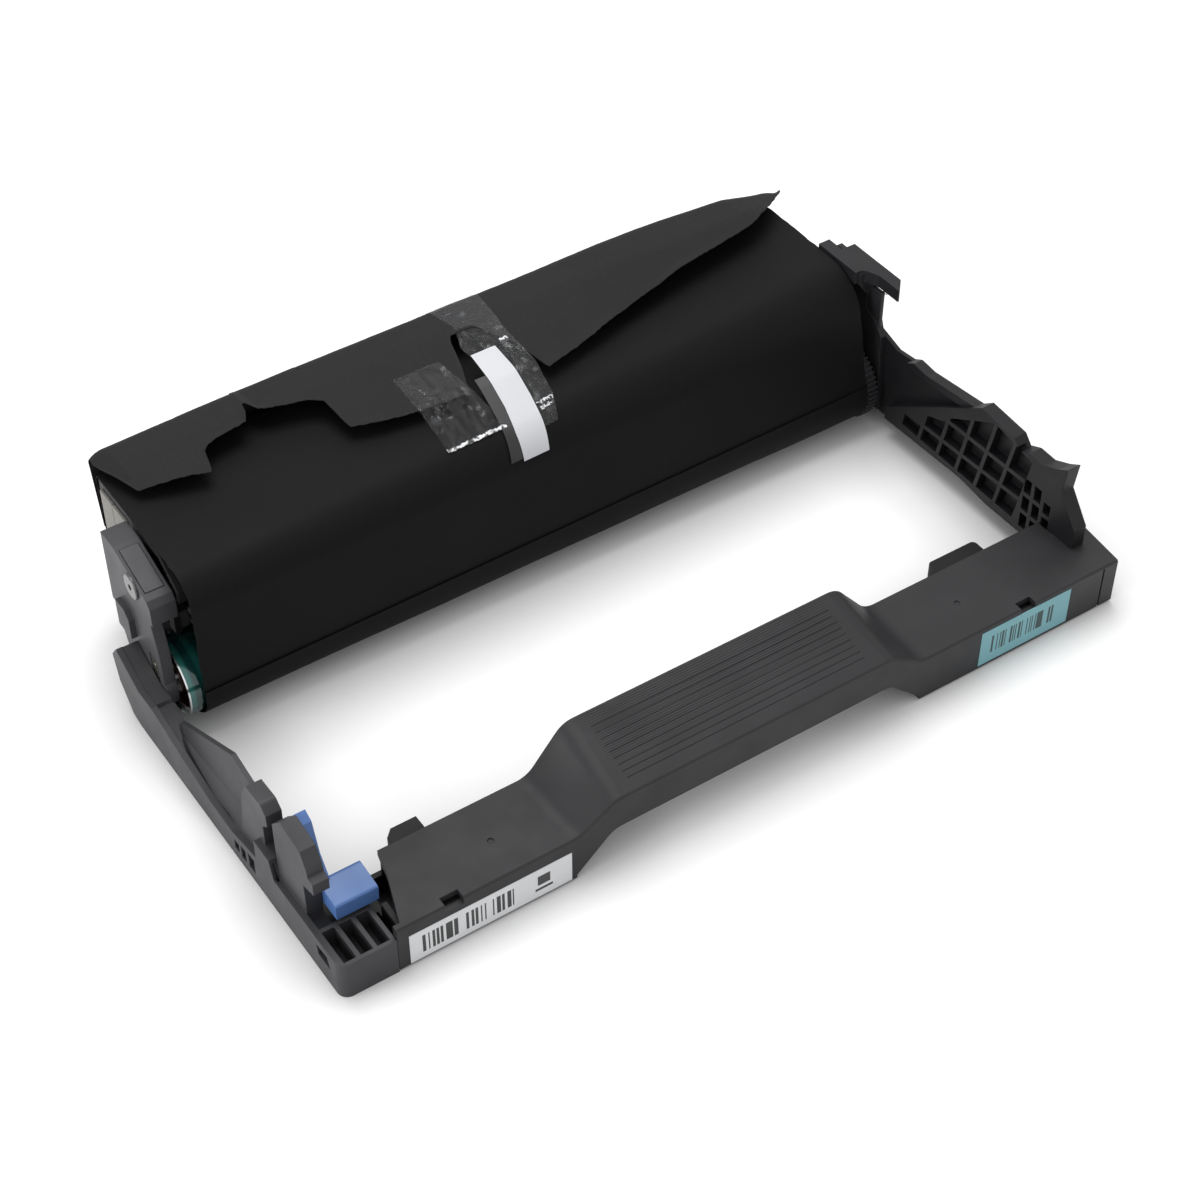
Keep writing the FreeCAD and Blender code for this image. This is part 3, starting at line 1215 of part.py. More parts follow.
def flap_band():
    """Side view of the upper layer: up the rear wall, over the fold and forward."""
    thick = S.paper_thick
    wall_y = BOX_REAR + S.paper_gap
    shoulder = PAPER_RIDGE - 4
    upper = flap_line(Size.of(0))
    lower = flap_line(-thick)
    lower[-1] = (REAR - 4 - thick, PAPER_RIDGE + 0.4 - thick, 2)
    return [(wall_y + 0.1, 40), (wall_y + thick + 0.1, 40), (REAR, shoulder)] + upper[::-1] + lower + [
        (REAR - thick * 1.2, shoulder)]


def make_protective_paper():
    """Black paper sleeve with two torn flaps that come forward from the fold at the rear."""
    body = new_body("protective_paper")
    level = S.paper_lean * 0.0001
    for kind, inset in (("AdditiveLoft", Size.of(0)), ("SubtractiveLoft", S.paper_thick)):
        left = new_sketch(body, "YZ", PAPER_LEFT, [sleeve_profile(level, inset)])
        right = new_sketch(body, "YZ", PAPER_RIGHT, [sleeve_profile(S.paper_lean, inset)])
        loft(body, kind, left, right)
    pad(body, "YZ", PAPER_LEFT, PAPER_RIGHT - PAPER_LEFT, [flap_band()])
    # Torn front edges of the flaps, and the slit between them
    middle = Size.of(0)
    pocket(body, "XY", PAPER_TOP + 0.4, S.ridge_rise * 2, [[
        (PAPER_LEFT - 1, behind(35.3)), (LEFT + 26.6, behind(35.3)), (LEFT + 52.3, behind(27.7)),
        (LEFT + 54.7, behind(39.3)), (LEFT + 74.1, behind(43)), (LEFT + 76, behind(46.5)),
        (LEFT + 76.9, behind(56.9)), (LEFT + 80.7, behind(46.1)), (LEFT + 98.6, behind(41.6)),
        (LEFT + 103.8, behind(38.1)), (LEFT + 100.8, behind(22.6)), (LEFT + 115.9, behind(18.9)),
        (middle - 17.1, behind(14.8)), (middle - 7, behind(44)), (middle - 3, behind(57)),
        (middle + 8, behind(57)), (middle + 11.3, behind(28.5)), (middle + 15.7, behind(11.6)),
        (middle + 37.3, behind(17.1)), (middle + 60.9, behind(24.2)), (RIGHT - 53.6, behind(35.7)),
        (RIGHT - 25.8, behind(47.6)), (PAPER_RIGHT + 1, behind(54)),
        (PAPER_RIGHT + 1, behind(2)), (PAPER_LEFT - 1, behind(2))]])
    return body


def draped(lean, lift, drop, rear):
    """Side view of a strip on the sleeve: down over its front edge, and back as far as told."""
    thick = S.label_thick
    outer = sleeve_profile(lean, -lift - thick)
    inner = sleeve_profile(lean, -lift)
    slope = turn("tan", lean)
    low = PAPER_TOP - drop
    outer_low = (outer[1][0] - (drop + lift + thick) * slope, low)
    inner_low = (inner[1][0] - (drop + lift) * slope, low)
    upper = [(y, z + thick) for y, z in rear]
    return [outer_low, outer[1]] + upper + rear[::-1] + [inner[1], inner_low]


def make_tapes():
    """Two clear tapes that hold the flaps down on the lower layer."""
    lift = S.label_thick * 2
    level = PAPER_TOP + lift
    line = flap_line(lift)
    slope = (line[1][1] - line[0][1]) / (line[1][0] - line[0][0])
    tapes = []
    for label, x, width, edge, drop, reach in (
            ("long_tape", Size.of(-7), Size.of(20), behind(11), Size.of(11), None),
            ("short_tape", Size.of(-38.5), Size.of(24), behind(14), Size.of(1), behind(28))):
        body = new_body(label)
        rear = [(edge - 4, level), (edge, line[0][1] + (edge - line[0][0]) * slope)]
        if reach is None:
            rear += line[1:]
        else:
            rear.append((reach, line[0][1] + (reach - line[0][0]) * slope))
        share = (x + width / 2 - PAPER_LEFT) / (PAPER_RIGHT - PAPER_LEFT)
        if label == "short_tape":
            thick = S.label_thick
            front = (behind(-0.5), level)
            upper = [(y, z + thick) for y, z in [front] + rear]
            outline = [front] + upper + rear[::-1]
        else:
            outline = draped(S.paper_lean * share, lift, drop, rear)
        pad(body, "YZ", x, width, [outline])
        tapes.append(body)
    return tapes


def make_strips():
    """White notice strip over the front edge of the sleeve, and a dark strip beside it."""
    lift = S.label_thick * 4.5
    strips = []
    for label, x, width, drop in (("notice_strip", Size.of(-7), Size.of(11), Size.of(16)),
                                  ("dark_strip", Size.of(-13), Size.of(5.4), Size.of(15))):
        body = new_body(label)
        share = (x + width / 2 - PAPER_LEFT) / (PAPER_RIGHT - PAPER_LEFT)
        rear = [(behind(5.5), PAPER_TOP + lift)]
        pad(body, "YZ", x, width, [draped(S.paper_lean * share, lift, drop, rear)])
        strips.append(body)
    return strips


# Labels of the front bar


def make_front_labels():
    """White and teal labels, stuck on the front face."""
    labels = []
    for label, x, width, z, height in (
            ("front_label_white", COVER_LEFT + 4.2, 63.6, 1.3, 14),
            ("front_label_teal", RIGHT - 68.7, 43.2, 2, 16.8)):
        body = new_body(label)
        pad(body, "XZ", FRONT - S.label_thick, S.label_thick, [rectangle(
            x, Size.of(z), x + width, Size.of(z + height))])
        labels.append(body)
    return labels


# Lever


def make_release_lever():
    """Blue lever: pad in front, arm to the pivot, toe behind the cheek."""
    body = new_body("release_lever")
    left = LEFT_INNER + S.running_gap
    pad_front = FRONT + 17
    pad_back = FRONT + 30
    pad(body, "YZ", left, S.pad_width, [[
        (pad_front, PAD_UNDER), (pad_front, S.pad_top - 1.5, 1), (pad_back, S.pad_top, 2),
        (pad_back, PAD_UNDER)]])
    pad(body, "YZ", left, S.lever_width, [[
        (pad_back - 3, PAD_UNDER), (pad_back - 3, S.pad_top - 1), (PIVOT_Y - 3, PIVOT_Z + 3),
        (PIVOT_Y + 0.5, PIVOT_Z + 15), (PIVOT_Y + 4.5, PIVOT_Z + 17), (PIVOT_Y + 7, PIVOT_Z + 13.5),
        (PIVOT_Y + 3.5, PIVOT_Z - 2), (PIVOT_Y, PIVOT_Z - 4.2)]])
    pad(body, "YZ", left - 3.8, Size.of(4.3), circles=[(PIVOT_Y, PIVOT_Z, S.pivot_radius)])
    pocket(body, "XY", PAD_UNDER - 1, S.pad_height - 1, [rectangle(
        left + S.lever_width, pad_front + 1.8, left + S.pad_width - 1.8, pad_back - 1.8)])
    return body


def make_lever_spring():
    """Spring between the floor of the recess and the pad."""
    x = LEFT_INNER + S.running_gap + S.lever_width + 5.4
    length = S.pad_top - 2.3 - PAD_FLOOR
    spring = coil(number(x), number(FRONT + 23.5), number(PAD_FLOOR) + 0.05,
                  number(S.spring_radius), number(length), 5, number(S.wire))
    return wound("lever_spring", [spring])


def build():
    """Every piece of the unit, each a node of its own."""
    nodes = [make_front_bar_cover(), make_front_bar_base(), make_bar_screws()]
    nodes += [make_right_arm(), make_left_arm()]
    nodes += [make_left_end_cap(), make_left_cap_panel(), make_left_guide_boss()]
    nodes += [make_right_end_bracket(), make_bracket_pin(), make_end_screws()]
    nodes += make_drum()
    nodes += [make_drum_shaft(), make_ground_strip()]
    nodes += make_charge_roller()
    nodes += [make_roller_springs(), make_cleaner_housing(), make_cleaner_lid()]
    nodes += make_blade()
    nodes += [make_end_foam(), make_protective_paper()]
    nodes += make_tapes()
    nodes += make_strips()
    nodes += make_front_labels()
    nodes += [make_release_lever(), make_lever_spring()]
    return nodes


def check(nodes):
    """Stops if any object failed or any piece isn't a sound solid."""
    DOC.recompute()
    faults = []
    for thing in DOC.Objects:
        if "Invalid" in thing.State or "Error" in thing.State:
            owners = [parent.Label for parent in thing.InList]
            faults.append("%s of %s failed" % (thing.Name, ", ".join(owners)))
    for node in nodes:
        if node.Shape.isNull() or not node.Shape.isValid() or not node.Shape.Solids:
            faults.append("%s has no sound solid" % node.Label)
    if faults:
        raise RuntimeError("; ".join(faults))


def write(nodes):
    os.makedirs("parts", exist_ok=True)
    for node in nodes:
        node.Shape.exportStep("parts/%s.step" % node.Label)
        print("%-22s %d solid(s) %10.1f mm3" % (node.Label, len(node.Shape.Solids), node.Shape.Volume))


NODES = build()
check(NODES)
write(NODES)
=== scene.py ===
"""Looks of a laser printer drum unit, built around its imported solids.

A dark grey bar with an arched grip joins two side frames. They carry the green drum and its cleaner
box at the rear, which are still in black protective paper held by clear tape.
X runs to the right along the drum, Y to the rear, Z up. Lengths are in metres.
"""
import logging
import math
from dataclasses import dataclass, field
from enum import Enum
from typing import Callable, Protocol, Sequence

import bpy
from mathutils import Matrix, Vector, noise


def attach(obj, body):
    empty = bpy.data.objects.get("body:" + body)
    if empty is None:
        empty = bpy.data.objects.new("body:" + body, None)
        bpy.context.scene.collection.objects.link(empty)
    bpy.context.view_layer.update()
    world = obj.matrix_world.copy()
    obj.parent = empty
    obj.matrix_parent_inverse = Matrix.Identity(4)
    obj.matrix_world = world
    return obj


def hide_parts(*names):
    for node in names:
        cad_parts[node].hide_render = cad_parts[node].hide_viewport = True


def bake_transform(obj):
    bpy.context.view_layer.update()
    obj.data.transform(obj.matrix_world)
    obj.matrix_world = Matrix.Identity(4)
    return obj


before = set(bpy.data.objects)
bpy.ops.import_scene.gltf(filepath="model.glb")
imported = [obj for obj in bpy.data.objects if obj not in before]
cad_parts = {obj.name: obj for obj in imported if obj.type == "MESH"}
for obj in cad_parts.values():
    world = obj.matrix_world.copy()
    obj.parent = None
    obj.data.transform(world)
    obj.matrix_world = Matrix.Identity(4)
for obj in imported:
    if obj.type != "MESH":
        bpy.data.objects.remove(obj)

LOG = logging.getLogger("drum_unit")
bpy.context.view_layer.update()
MM = 0.001
SMOOTH_ANGLE = math.radians(40)
GLOSS = "Specular IOR Level"
Line = list[tuple[float, float]]
Colour = tuple[float, float, float]
Box = tuple[float, float, float, float]


class Body(Enum):
    """The moving bodies of the unit that new pieces ride on."""

    FRAME = "frame"
    LEVER = "lever"


def between(low: float, high: float, share: float) -> float:
    """The value at a share of the way from low to high."""
    return low + (high - low) * share


def smooth(share: float) -> float:
    """A share, held to 0 and 1, with soft ends."""
    share = min(max(share, 0.0), 1.0)
    return share * share * (3 - 2 * share)


def wave(x: float, y: float, z: float, depth: float) -> float:
    """Smooth noise of up to a depth at a point whose coordinates count waves."""
    return noise.noise(Vector((x, y, z))) * depth


def along(line: Sequence[tuple[float, float]], place: float) -> float:
    """Reads a broken line.

    Args:
        line: Points (place, value), with their places in rising order.
        place: Where to read it.

    Returns:
        The value there, held at both ends.
    """
    if place <= line[0][0]:
        return line[0][1]
    for (x0, y0), (x1, y1) in zip(line, line[1:]):
        if place <= x1:
            return between(y0, y1, (place - x0) / (x1 - x0))
    return line[-1][1]


def evenly(path: Line, count: int) -> Line:
    """Points at even steps along a path.

    Args:
        path: Corners of the path.
        count: How many steps.

    Returns:
        One point more than there are steps.
    """
    lengths = [math.dist(a, b) for a, b in zip(path, path[1:])]
    total = sum(lengths)
    points: Line = []
    edge, before = 0, 0.0
    for step in range(count + 1):
        want = total * step / count
        while edge < len(lengths) - 1 and before + lengths[edge] < want:
            before += lengths[edge]
            edge += 1
        share = (want - before) / lengths[edge] if lengths[edge] else 0.0
        a, b = path[edge], path[edge + 1]
        points.append((between(a[0], b[0], share), between(a[1], b[1], share)))
    return points


def softened(path: Line, rounds: int) -> Line:
    """Rounds the corners of a path by averaging each point with its neighbours.

    Args:
        path: Points of the path.
        rounds: How often to average.

    Returns:
        As many points, with the same two ends.
    """
    for _ in range(rounds):
        middle = [((a[0] + b[0] * 2 + c[0]) / 4, (a[1] + b[1] * 2 + c[1]) / 4)
                  for a, b, c in zip(path, path[1:], path[2:])]
        path = [path[0]] + middle + [path[-1]]
    return path


def offset(path: Line, distance: Callable[[float], float]) -> Line:
    """Moves a path to its left-hand side.

    Args:
        path: Points of the path.
        distance: How far, by the share of the way along the path.

    Returns:
        The moved points.
    """
    moved: Line = []
    last = len(path) - 1
    for index, (y, z) in enumerate(path):
        a, b = path[max(index - 1, 0)], path[min(index + 1, last)]
        reach = math.dist(a, b) or 1.0
        by = distance(index / last)
        moved.append((y - (b[1] - a[1]) / reach * by, z + (b[0] - a[0]) / reach * by))
    return moved


def taut(path: Line) -> Line:
    """Pulls a strip tight over a path.

    Args:
        path: Points (y, z) from the back to the front.

    Returns:
        The points that the strip touches.
    """
    kept: Line = []
    for point in path:
        while len(kept) > 1:
            (ay, az), (by, bz) = kept[-2], kept[-1]
            if (by - ay) * (point[1] - bz) - (bz - az) * (point[0] - by) > 0:
                break
            kept.pop()
        kept.append(point)
    return kept


def face_outwards(weld: float = 0.0) -> None:
    """Turns the faces of the active piece outwards.

    Args:
        weld: Distance under which its points merge first; 0 leaves them all.
    """
    bpy.ops.object.mode_set(mode="EDIT")
    bpy.ops.mesh.select_all(action="SELECT")
    if weld:
        bpy.ops.mesh.remove_doubles(threshold=weld)
    bpy.ops.mesh.normals_make_consistent(inside=False)
    bpy.ops.object.mode_set(mode="OBJECT")


def shade() -> None:
    """Shades the active piece smooth up to its edges, and lets go of it."""
    bpy.ops.object.shade_smooth_by_angle(angle=SMOOTH_ANGLE)
    bpy.ops.object.select_all(action="DESELECT")


class Graph:
    """Builds the node tree of one material."""

    def __init__(self, name: str) -> None:
        """Starts a material with only its output."""
        self.material = bpy.data.materials.new(name)
        self.material.use_nodes = True
        self.tree = self.material.node_tree
        self.tree.nodes.clear()
        self.output = self.tree.nodes.new("ShaderNodeOutputMaterial")
        self.place = self.node("TexCoord").outputs["Object"]

    @classmethod
    def on(cls, material: bpy.types.Material) -> "Graph":
        """Opens the node tree of a finished material."""
        graph = cls.__new__(cls)
        graph.material, graph.tree = material, material.node_tree
        graph.place = graph.node("TexCoord").outputs["Object"]
        return graph

    def node(self, kind: str, settings: dict | None = None, **inputs: object) -> bpy.types.Node:
        """Adds a shader node.

        Args:
            kind: Its type without the leading ShaderNode.
            settings: Properties of the node.
            **inputs: Values or outputs for its sockets; a name such as i0 means socket number 0.

        Returns:
            The node.
        """
        made = self.tree.nodes.new("ShaderNode" + kind)
        for key, value in (settings or {}).items():
            setattr(made, key, value)
        for key, value in inputs.items():
            plug = int(key[1:]) if key[0] == "i" and key[1:].isdigit() else key.replace("_", " ")
            socket = made.inputs[plug]
            if isinstance(value, bpy.types.NodeSocket):
                self.tree.links.new(value, socket)
            else:
                socket.default_value = value
        return made

    def axes(self) -> list[bpy.types.NodeSocket]:
        """The piece's own X, Y and Z."""
        return list(self.node("SeparateXYZ", i0=self.place).outputs)

    def math(self, operation: str, *values: object) -> bpy.types.NodeSocket:
        """The result of a Math node on the given values or outputs."""
        inputs = {"i%d" % index: value for index, value in enumerate(values)}
        return self.node("Math", {"operation": operation}, **inputs).outputs[0]

    def noise(self, scale: float, detail: float = 2.0, stretch: Colour = (1, 1, 1)) -> bpy.types.NodeSocket:
        """Noise of about 0 to 1 on object coordinates.

        Args:
            scale: Features a metre.
            detail: Octaves of finer noise.
            stretch: Factors on the three axes; a small one draws the features out along its axis.

        Returns:
            The noise.
        """
        place = self.node("Mapping", i0=self.place, i3=stretch).outputs[0]
        return self.node("TexNoise", Vector=place, Scale=scale, Detail=detail).outputs[0]

    def spread(self, value: bpy.types.NodeSocket, low: float, high: float,
               start: float = 0.3, end: float = 0.7) -> bpy.types.NodeSocket:
        """Maps a value from start..end to low..high and holds it there."""
        return self.node("MapRange", i0=value, i1=start, i2=end, i3=low, i4=high).outputs[0]

    def mix(self, share: object, first: object, second: object) -> bpy.types.NodeSocket:
        """Mixes two colours by a share of the second."""
        made = self.node("Mix", {"data_type": "RGBA"}, i0=share)
        for plug, value in ((6, first), (7, second)):
            if isinstance(value, bpy.types.NodeSocket):
                self.tree.links.new(value, made.inputs[plug])
            else:
                made.inputs[plug].default_value = (*value, 1.0)
        return made.outputs[2]

    def scaled(self, colour: bpy.types.NodeSocket, factor: bpy.types.NodeSocket) -> bpy.types.NodeSocket:
        """A colour times a factor."""
        return self.node("VectorMath", {"operation": "SCALE"}, i0=colour, Scale=factor).outputs[0]

    def bump(self, height: bpy.types.NodeSocket, strength: float, depth: float,
             normal: bpy.types.NodeSocket | None = None) -> bpy.types.NodeSocket:
        """Bump of a depth in metres, on another normal where one is given."""
        inputs = {"Strength": strength, "Distance": depth, "Height": height}
        if normal is not None:
            inputs["Normal"] = normal
        return self.node("Bump", None, **inputs).outputs[0]

    def finish(self, **inputs: object) -> bpy.types.Material:
        """Ends the material with a Principled shader that has the given inputs."""
        shader = self.node("BsdfPrincipled", None, **inputs)
        self.tree.links.new(shader.outputs[0], self.output.inputs[0])
        return self.material


class Finish(Protocol):
    """What every finish offers."""

    def material(self) -> bpy.types.Material:
        """The node material of this finish."""


@dataclass(frozen=True)
class Moulding:
    """Moulded plastic: fine grain, slight mottling, and a painted highlight that lightens the colour along
    its edges.
    """

    name: str
    colour: Colour
    roughness: float = 0.5
    grain: float = 0.35
    grain_scale: float = 2600.0
    grain_depth: float = 0.06 * MM
    # Share by which the colour lightens along edges: a painted highlight.
    edge: float = 0.35
    edge_round: float = 0.4 * MM
    gloss: float = 0.5
    mottle_scale: float = 38.0
    wear_scale: float = 70.0

    def material(self) -> bpy.types.Material:
        """The node material of this finish."""
        graph = Graph(self.name)
        rounded = graph.node("Bevel", {"samples": 6}, Radius=self.edge_round).outputs[0]
        flat = graph.node("NewGeometry").outputs["Normal"]
        facing = graph.node("VectorMath", {"operation": "DOT_PRODUCT"}, i0=rounded, i1=flat).outputs["Value"]
        # Mask of the edges, where the Bevel normal turns from the flat one; it drives a painted highlight.
        painted_edge_highlight = graph.spread(facing, 1.0, 0.0, 0.80, 0.995)
        patch = graph.spread(graph.noise(self.mottle_scale, 4.0), 0.86, 1.12)
        fine = graph.noise(self.grain_scale, 3.0)
        base = graph.mix(graph.math("MULTIPLY", painted_edge_highlight, self.edge), self.colour,
                         tuple(min(c * 2.4 + 0.02, 1.0) for c in self.colour))
        worn = graph.noise(self.wear_scale, 5.0)
        rough = graph.spread(worn, self.roughness - 0.06, self.roughness + 0.07)
        relief = graph.bump(fine, self.grain, self.grain_depth, rounded)
        return graph.finish(Base_Color=graph.scaled(base, patch), Roughness=rough, Normal=relief,
                            **{GLOSS: self.gloss})


@dataclass(frozen=True)
class GripMoulding(Moulding):
    """Moulded plastic whose grip is covered with fine lines along its length, with painted shade in their
    grooves and a painted highlight on their ridges.
    """

    grip_left: float = -56.0 * MM
    grip_right: float = 51.5 * MM
    grip_low: float = 32.5 * MM
    side_fade: float = 3.0 * MM
    low_fade: float = 2.0 * MM
    line_pitch: float = 0.9 * MM
    line_wander: float = 0.5 * MM
    line_depth: float = 0.12 * MM
    line_painted_shade: float = 0.13

    def material(self) -> bpy.types.Material:
        """The node material of this finish."""
        material = super().material()
        graph = Graph.on(material)
        x, y, z = graph.axes()
        sides = graph.math(
            "MULTIPLY", graph.spread(x, 0.0, 1.0, self.grip_left, self.grip_left + self.side_fade),
            graph.spread(x, 1.0, 0.0, self.grip_right - self.side_fade, self.grip_right))
        high = graph.spread(z, 0.0, 1.0, self.grip_low, self.grip_low + self.low_fade)
        mask = graph.math("MULTIPLY", sides, high)
        wander = graph.spread(graph.noise(60.0, 2.0, (0.2, 1.0, 1.0)), -self.line_wander, self.line_wander)
        phase = graph.math("MULTIPLY", graph.math("ADD", y, wander), 2 * math.pi / self.line_pitch)
        breaks = graph.spread(graph.noise(500.0, 3.0, (0.15, 1.0, 1.0)), 0.3, 1.0, 0.35, 0.6)
        lines = graph.math("MULTIPLY", graph.math("MULTIPLY", graph.math("SINE", phase), breaks), mask)
        shader = graph.tree.nodes["Principled BSDF"]
        colour, normal = shader.inputs["Base Color"], shader.inputs["Normal"]
        # The lines' sine lightens the colour on their ridges and darkens it in their grooves: painted
        # highlight and painted shade, on top of their bump.
        painted_line_shade = graph.math("MULTIPLY_ADD", lines, self.line_painted_shade, 1.0)
        graph.tree.links.new(graph.scaled(colour.links[0].from_socket, painted_line_shade), colour)
        graph.tree.links.new(graph.bump(lines, 0.5, self.line_depth, normal.links[0].from_socket), normal)
        return material


@dataclass(frozen=True)
class Metal:
    """Steel with faint drawn or turned lines along one direction."""

    name: str
    colour: Colour
    roughness: float = 0.3
    stretch: Colour = (0.05, 1.0, 1.0)
    line_scale: float = 2500.0
    line_depth: float = 0.04 * MM
    edge_round: float = 0.2 * MM

    def material(self) -> bpy.types.Material:
        """The node material of this finish."""
        graph = Graph(self.name)
        lines = graph.noise(self.line_scale, 3.0, self.stretch)
        tone = graph.mix(graph.spread(graph.noise(60.0, 4.0), 0.0, 0.35), self.colour,
                         tuple(c * 0.6 for c in self.colour))
        rounded = graph.node("Bevel", {"samples": 4}, Radius=self.edge_round).outputs[0]
        rough = graph.spread(lines, self.roughness - 0.08, self.roughness + 0.12)
        return graph.finish(Base_Color=tone, Metallic=1.0, Roughness=rough,
                            Normal=graph.bump(lines, 0.15, self.line_depth, rounded))


@dataclass(frozen=True)
class Photoconductor:
    """Green coating of the drum with paler bands near its left rim, which is bare metal."""

    name: str = "photoconductor_green"
    deep: Colour = (0.006, 0.05, 0.046)
    pale: Colour = (0.03, 0.19, 0.17)
    bright: Colour = (0.72, 0.75, 0.74)
    rim_x: float = -155.0 * MM
    rim_width: float = 0.5 * MM
    rim_fade: float = 0.2 * MM
    band_start: float = 2.0 * MM
    band_end: float = 12.0 * MM
    band_rate: float = 1100.0

    def material(self) -> bpy.types.Material:
        """The node material of this finish."""
        graph = Graph(self.name)
        reach = graph.math("SUBTRACT", graph.axes()[0], self.rim_x)
        band = graph.math("SINE", graph.math("MULTIPLY", reach, self.band_rate))
        near = graph.spread(reach, 1.0, 0.0, self.band_start, self.band_end)
        share = graph.math("MULTIPLY", graph.spread(band, 0.0, 0.8, -0.4, 0.9), near)
        bare = graph.spread(reach, 1.0, 0.0, self.rim_width, self.rim_width + self.rim_fade)
        tone = graph.mix(bare, graph.mix(share, self.deep, self.pale), self.bright)
        haze = graph.spread(graph.noise(9.0, 3.0), 0.12, 0.2)
        return graph.finish(Base_Color=tone, Metallic=graph.spread(bare, 0.25, 1.0, 0.0, 1.0), Roughness=haze,
                            **{"Coat Weight": 0.8, "Coat Roughness": 0.05})


@dataclass(frozen=True)
class Paper:
    """Black paper: short fibres, faint creases and a slight sheen."""

    name: str = "protective_paper_black"
    colour: Colour = (0.0052, 0.0052, 0.0055)
    roughness: float = 0.62
    gloss: float = 0.10
    fibre_scale: float = 1500.0
    fibre_depth: float = 0.08 * MM
    cloud_scale: float = 22.0
    crease_scale: float = 55.0
    crease_depth: float = 0.4 * MM

    def material(self) -> bpy.types.Material:
        """The node material of this finish."""
        graph = Graph(self.name)
        fibres = graph.noise(self.fibre_scale, 4.0, (0.5, 1.0, 1.0))
        clouds = graph.noise(self.cloud_scale, 5.0)
        creases = graph.noise(self.crease_scale, 6.0, (0.45, 1.0, 1.0))
        tone = graph.mix(graph.spread(clouds, 0.0, 1.0), self.colour, tuple(c * 1.35 for c in self.colour))
        tone = graph.mix(graph.spread(fibres, 0.0, 0.3, 0.5, 0.75), tone, tuple(c * 2.2 for c in self.colour))
        rough = graph.spread(clouds, self.roughness - 0.07, self.roughness + 0.05)
        relief = graph.bump(creases, 0.25, self.crease_depth)
        relief = graph.bump(fibres, 0.3, self.fibre_depth, relief)
        return graph.finish(Base_Color=tone, Roughness=rough, Normal=relief, **{GLOSS: self.gloss})


@dataclass(frozen=True)
class GlintLine:
    """A painted glint line along a crease across a tape, in shares of the tape's width and length."""

    start: float
    end: float
    way: float
    width: float


@dataclass(frozen=True)
class ClearTape:
    """Clear tape that is wrinkled, with painted glints along its creases."""

    name: str
    alpha: float
    wrinkle: float
    colour: Colour = (0.30, 0.305, 0.315)
    # Lines of painted glint, where the tape turns pale and opaque.
    creases: tuple[GlintLine, ...] = ()
    glint_colour: Colour = (0.85, 0.86, 0.88)
    fold_scale: float = 160.0
    fold_depth: float = 0.6 * MM
    dust_scale: float = 260.0
    dust: float = 0.15
    ragged: float = 0.012

    def painted_glints(self, graph: Graph) -> bpy.types.NodeSocket:
        """A mask that is 1 along the painted glint lines."""
        across, way, _ = graph.node("SeparateXYZ", i0=graph.node("TexCoord").outputs["UV"]).outputs
        jitter = graph.spread(graph.noise(900.0, 3.0), -self.ragged, self.ragged)
        gaps = graph.spread(graph.noise(330.0, 2.0), 0.15, 1.0, 0.4, 0.52)
        mask: object = 0.0
        for crease in self.creases:
            away = graph.math("ADD", graph.math("SUBTRACT", way, crease.way), jitter)
            part = graph.math("LESS_THAN", graph.math("ABSOLUTE", away), crease.width)
            for test, limit in (("GREATER_THAN", crease.start), ("LESS_THAN", crease.end)):
                part = graph.math("MULTIPLY", part, graph.math(test, across, limit))
            mask = graph.math("MAXIMUM", mask, part)
        return graph.math("MULTIPLY", mask, gaps)

    def material(self) -> bpy.types.Material:
        """The node material of this finish."""
        graph = Graph(self.name)
        folds = graph.noise(self.fold_scale, 2.0, (1.0, 0.4, 1.0))
        dust = graph.spread(graph.noise(self.dust_scale, 2.0), 0.0, self.dust, 0.56, 0.75)
        painted_glints = self.painted_glints(graph)
        # Along the glint lines the colour turns pale and the tape opaque: a painted highlight.
        tone = graph.mix(painted_glints, self.colour, self.glint_colour)
        veil = graph.math("MAXIMUM", graph.math("ADD", dust, self.alpha), painted_glints)
        return graph.finish(Base_Color=tone, Roughness=graph.spread(folds, 0.08, 0.2), Alpha=veil,
                            Normal=graph.bump(folds, self.wrinkle, self.fold_depth), **{GLOSS: 0.7})


@dataclass(frozen=True)
class BarField:
    """A field of upright bars in a box of the label's front, given as left, right, low and high."""

    box: Box
    pitch: float
    share: float


@dataclass(frozen=True)
class PrintedLabel:
    """Paper label with plain bars and nothing to read."""

    name: str
    ground: Colour
    ink: Colour
    fields: tuple[BarField, ...] = ()
    blocks: tuple[Box, ...] = ()
    relief: float = 0.05 * MM

    @staticmethod
    def inside(graph: Graph, axes: list[bpy.types.NodeSocket], box: Box) -> bpy.types.NodeSocket:
        """A mask that is 1 inside a box of the label.

        Args:
            graph: The label's node tree.
            axes: The label's X, Y and Z.
            box: Left, right, low and high.

        Returns:
            The mask.
        """
        mask: object = 1.0
        for axis, low, high in ((axes[0], box[0], box[1]), (axes[2], box[2], box[3])):
            for test, limit in (("GREATER_THAN", low), ("LESS_THAN", high)):
                mask = graph.math("MULTIPLY", mask, graph.math(test, axis, limit))
        return mask

    def material(self) -> bpy.types.Material:
        """The node material of this finish."""
        graph = Graph(self.name)
        axes = graph.axes()
        parts = []
        for bars in self.fields:
            step = graph.math("FLOOR", graph.math("DIVIDE", axes[0], bars.pitch))
            chance = graph.node("TexWhiteNoise", {"noise_dimensions": "1D"}, W=step).outputs[0]
            bar = graph.math("LESS_THAN", chance, bars.share)
            parts.append(graph.math("MULTIPLY", bar, self.inside(graph, axes, bars.box)))
        parts += [self.inside(graph, axes, box) for box in self.blocks]
        tone = graph.mix(graph.spread(graph.noise(90.0, 3.0), 0.0, 0.25), self.ground,
                         tuple(c * 0.9 for c in self.ground))
        for part in parts:
            tone = graph.mix(part, tone, self.ink)
        relief = graph.bump(graph.noise(900.0), 0.1, self.relief)
        return graph.finish(Base_Color=tone, Roughness=0.42, Normal=relief)


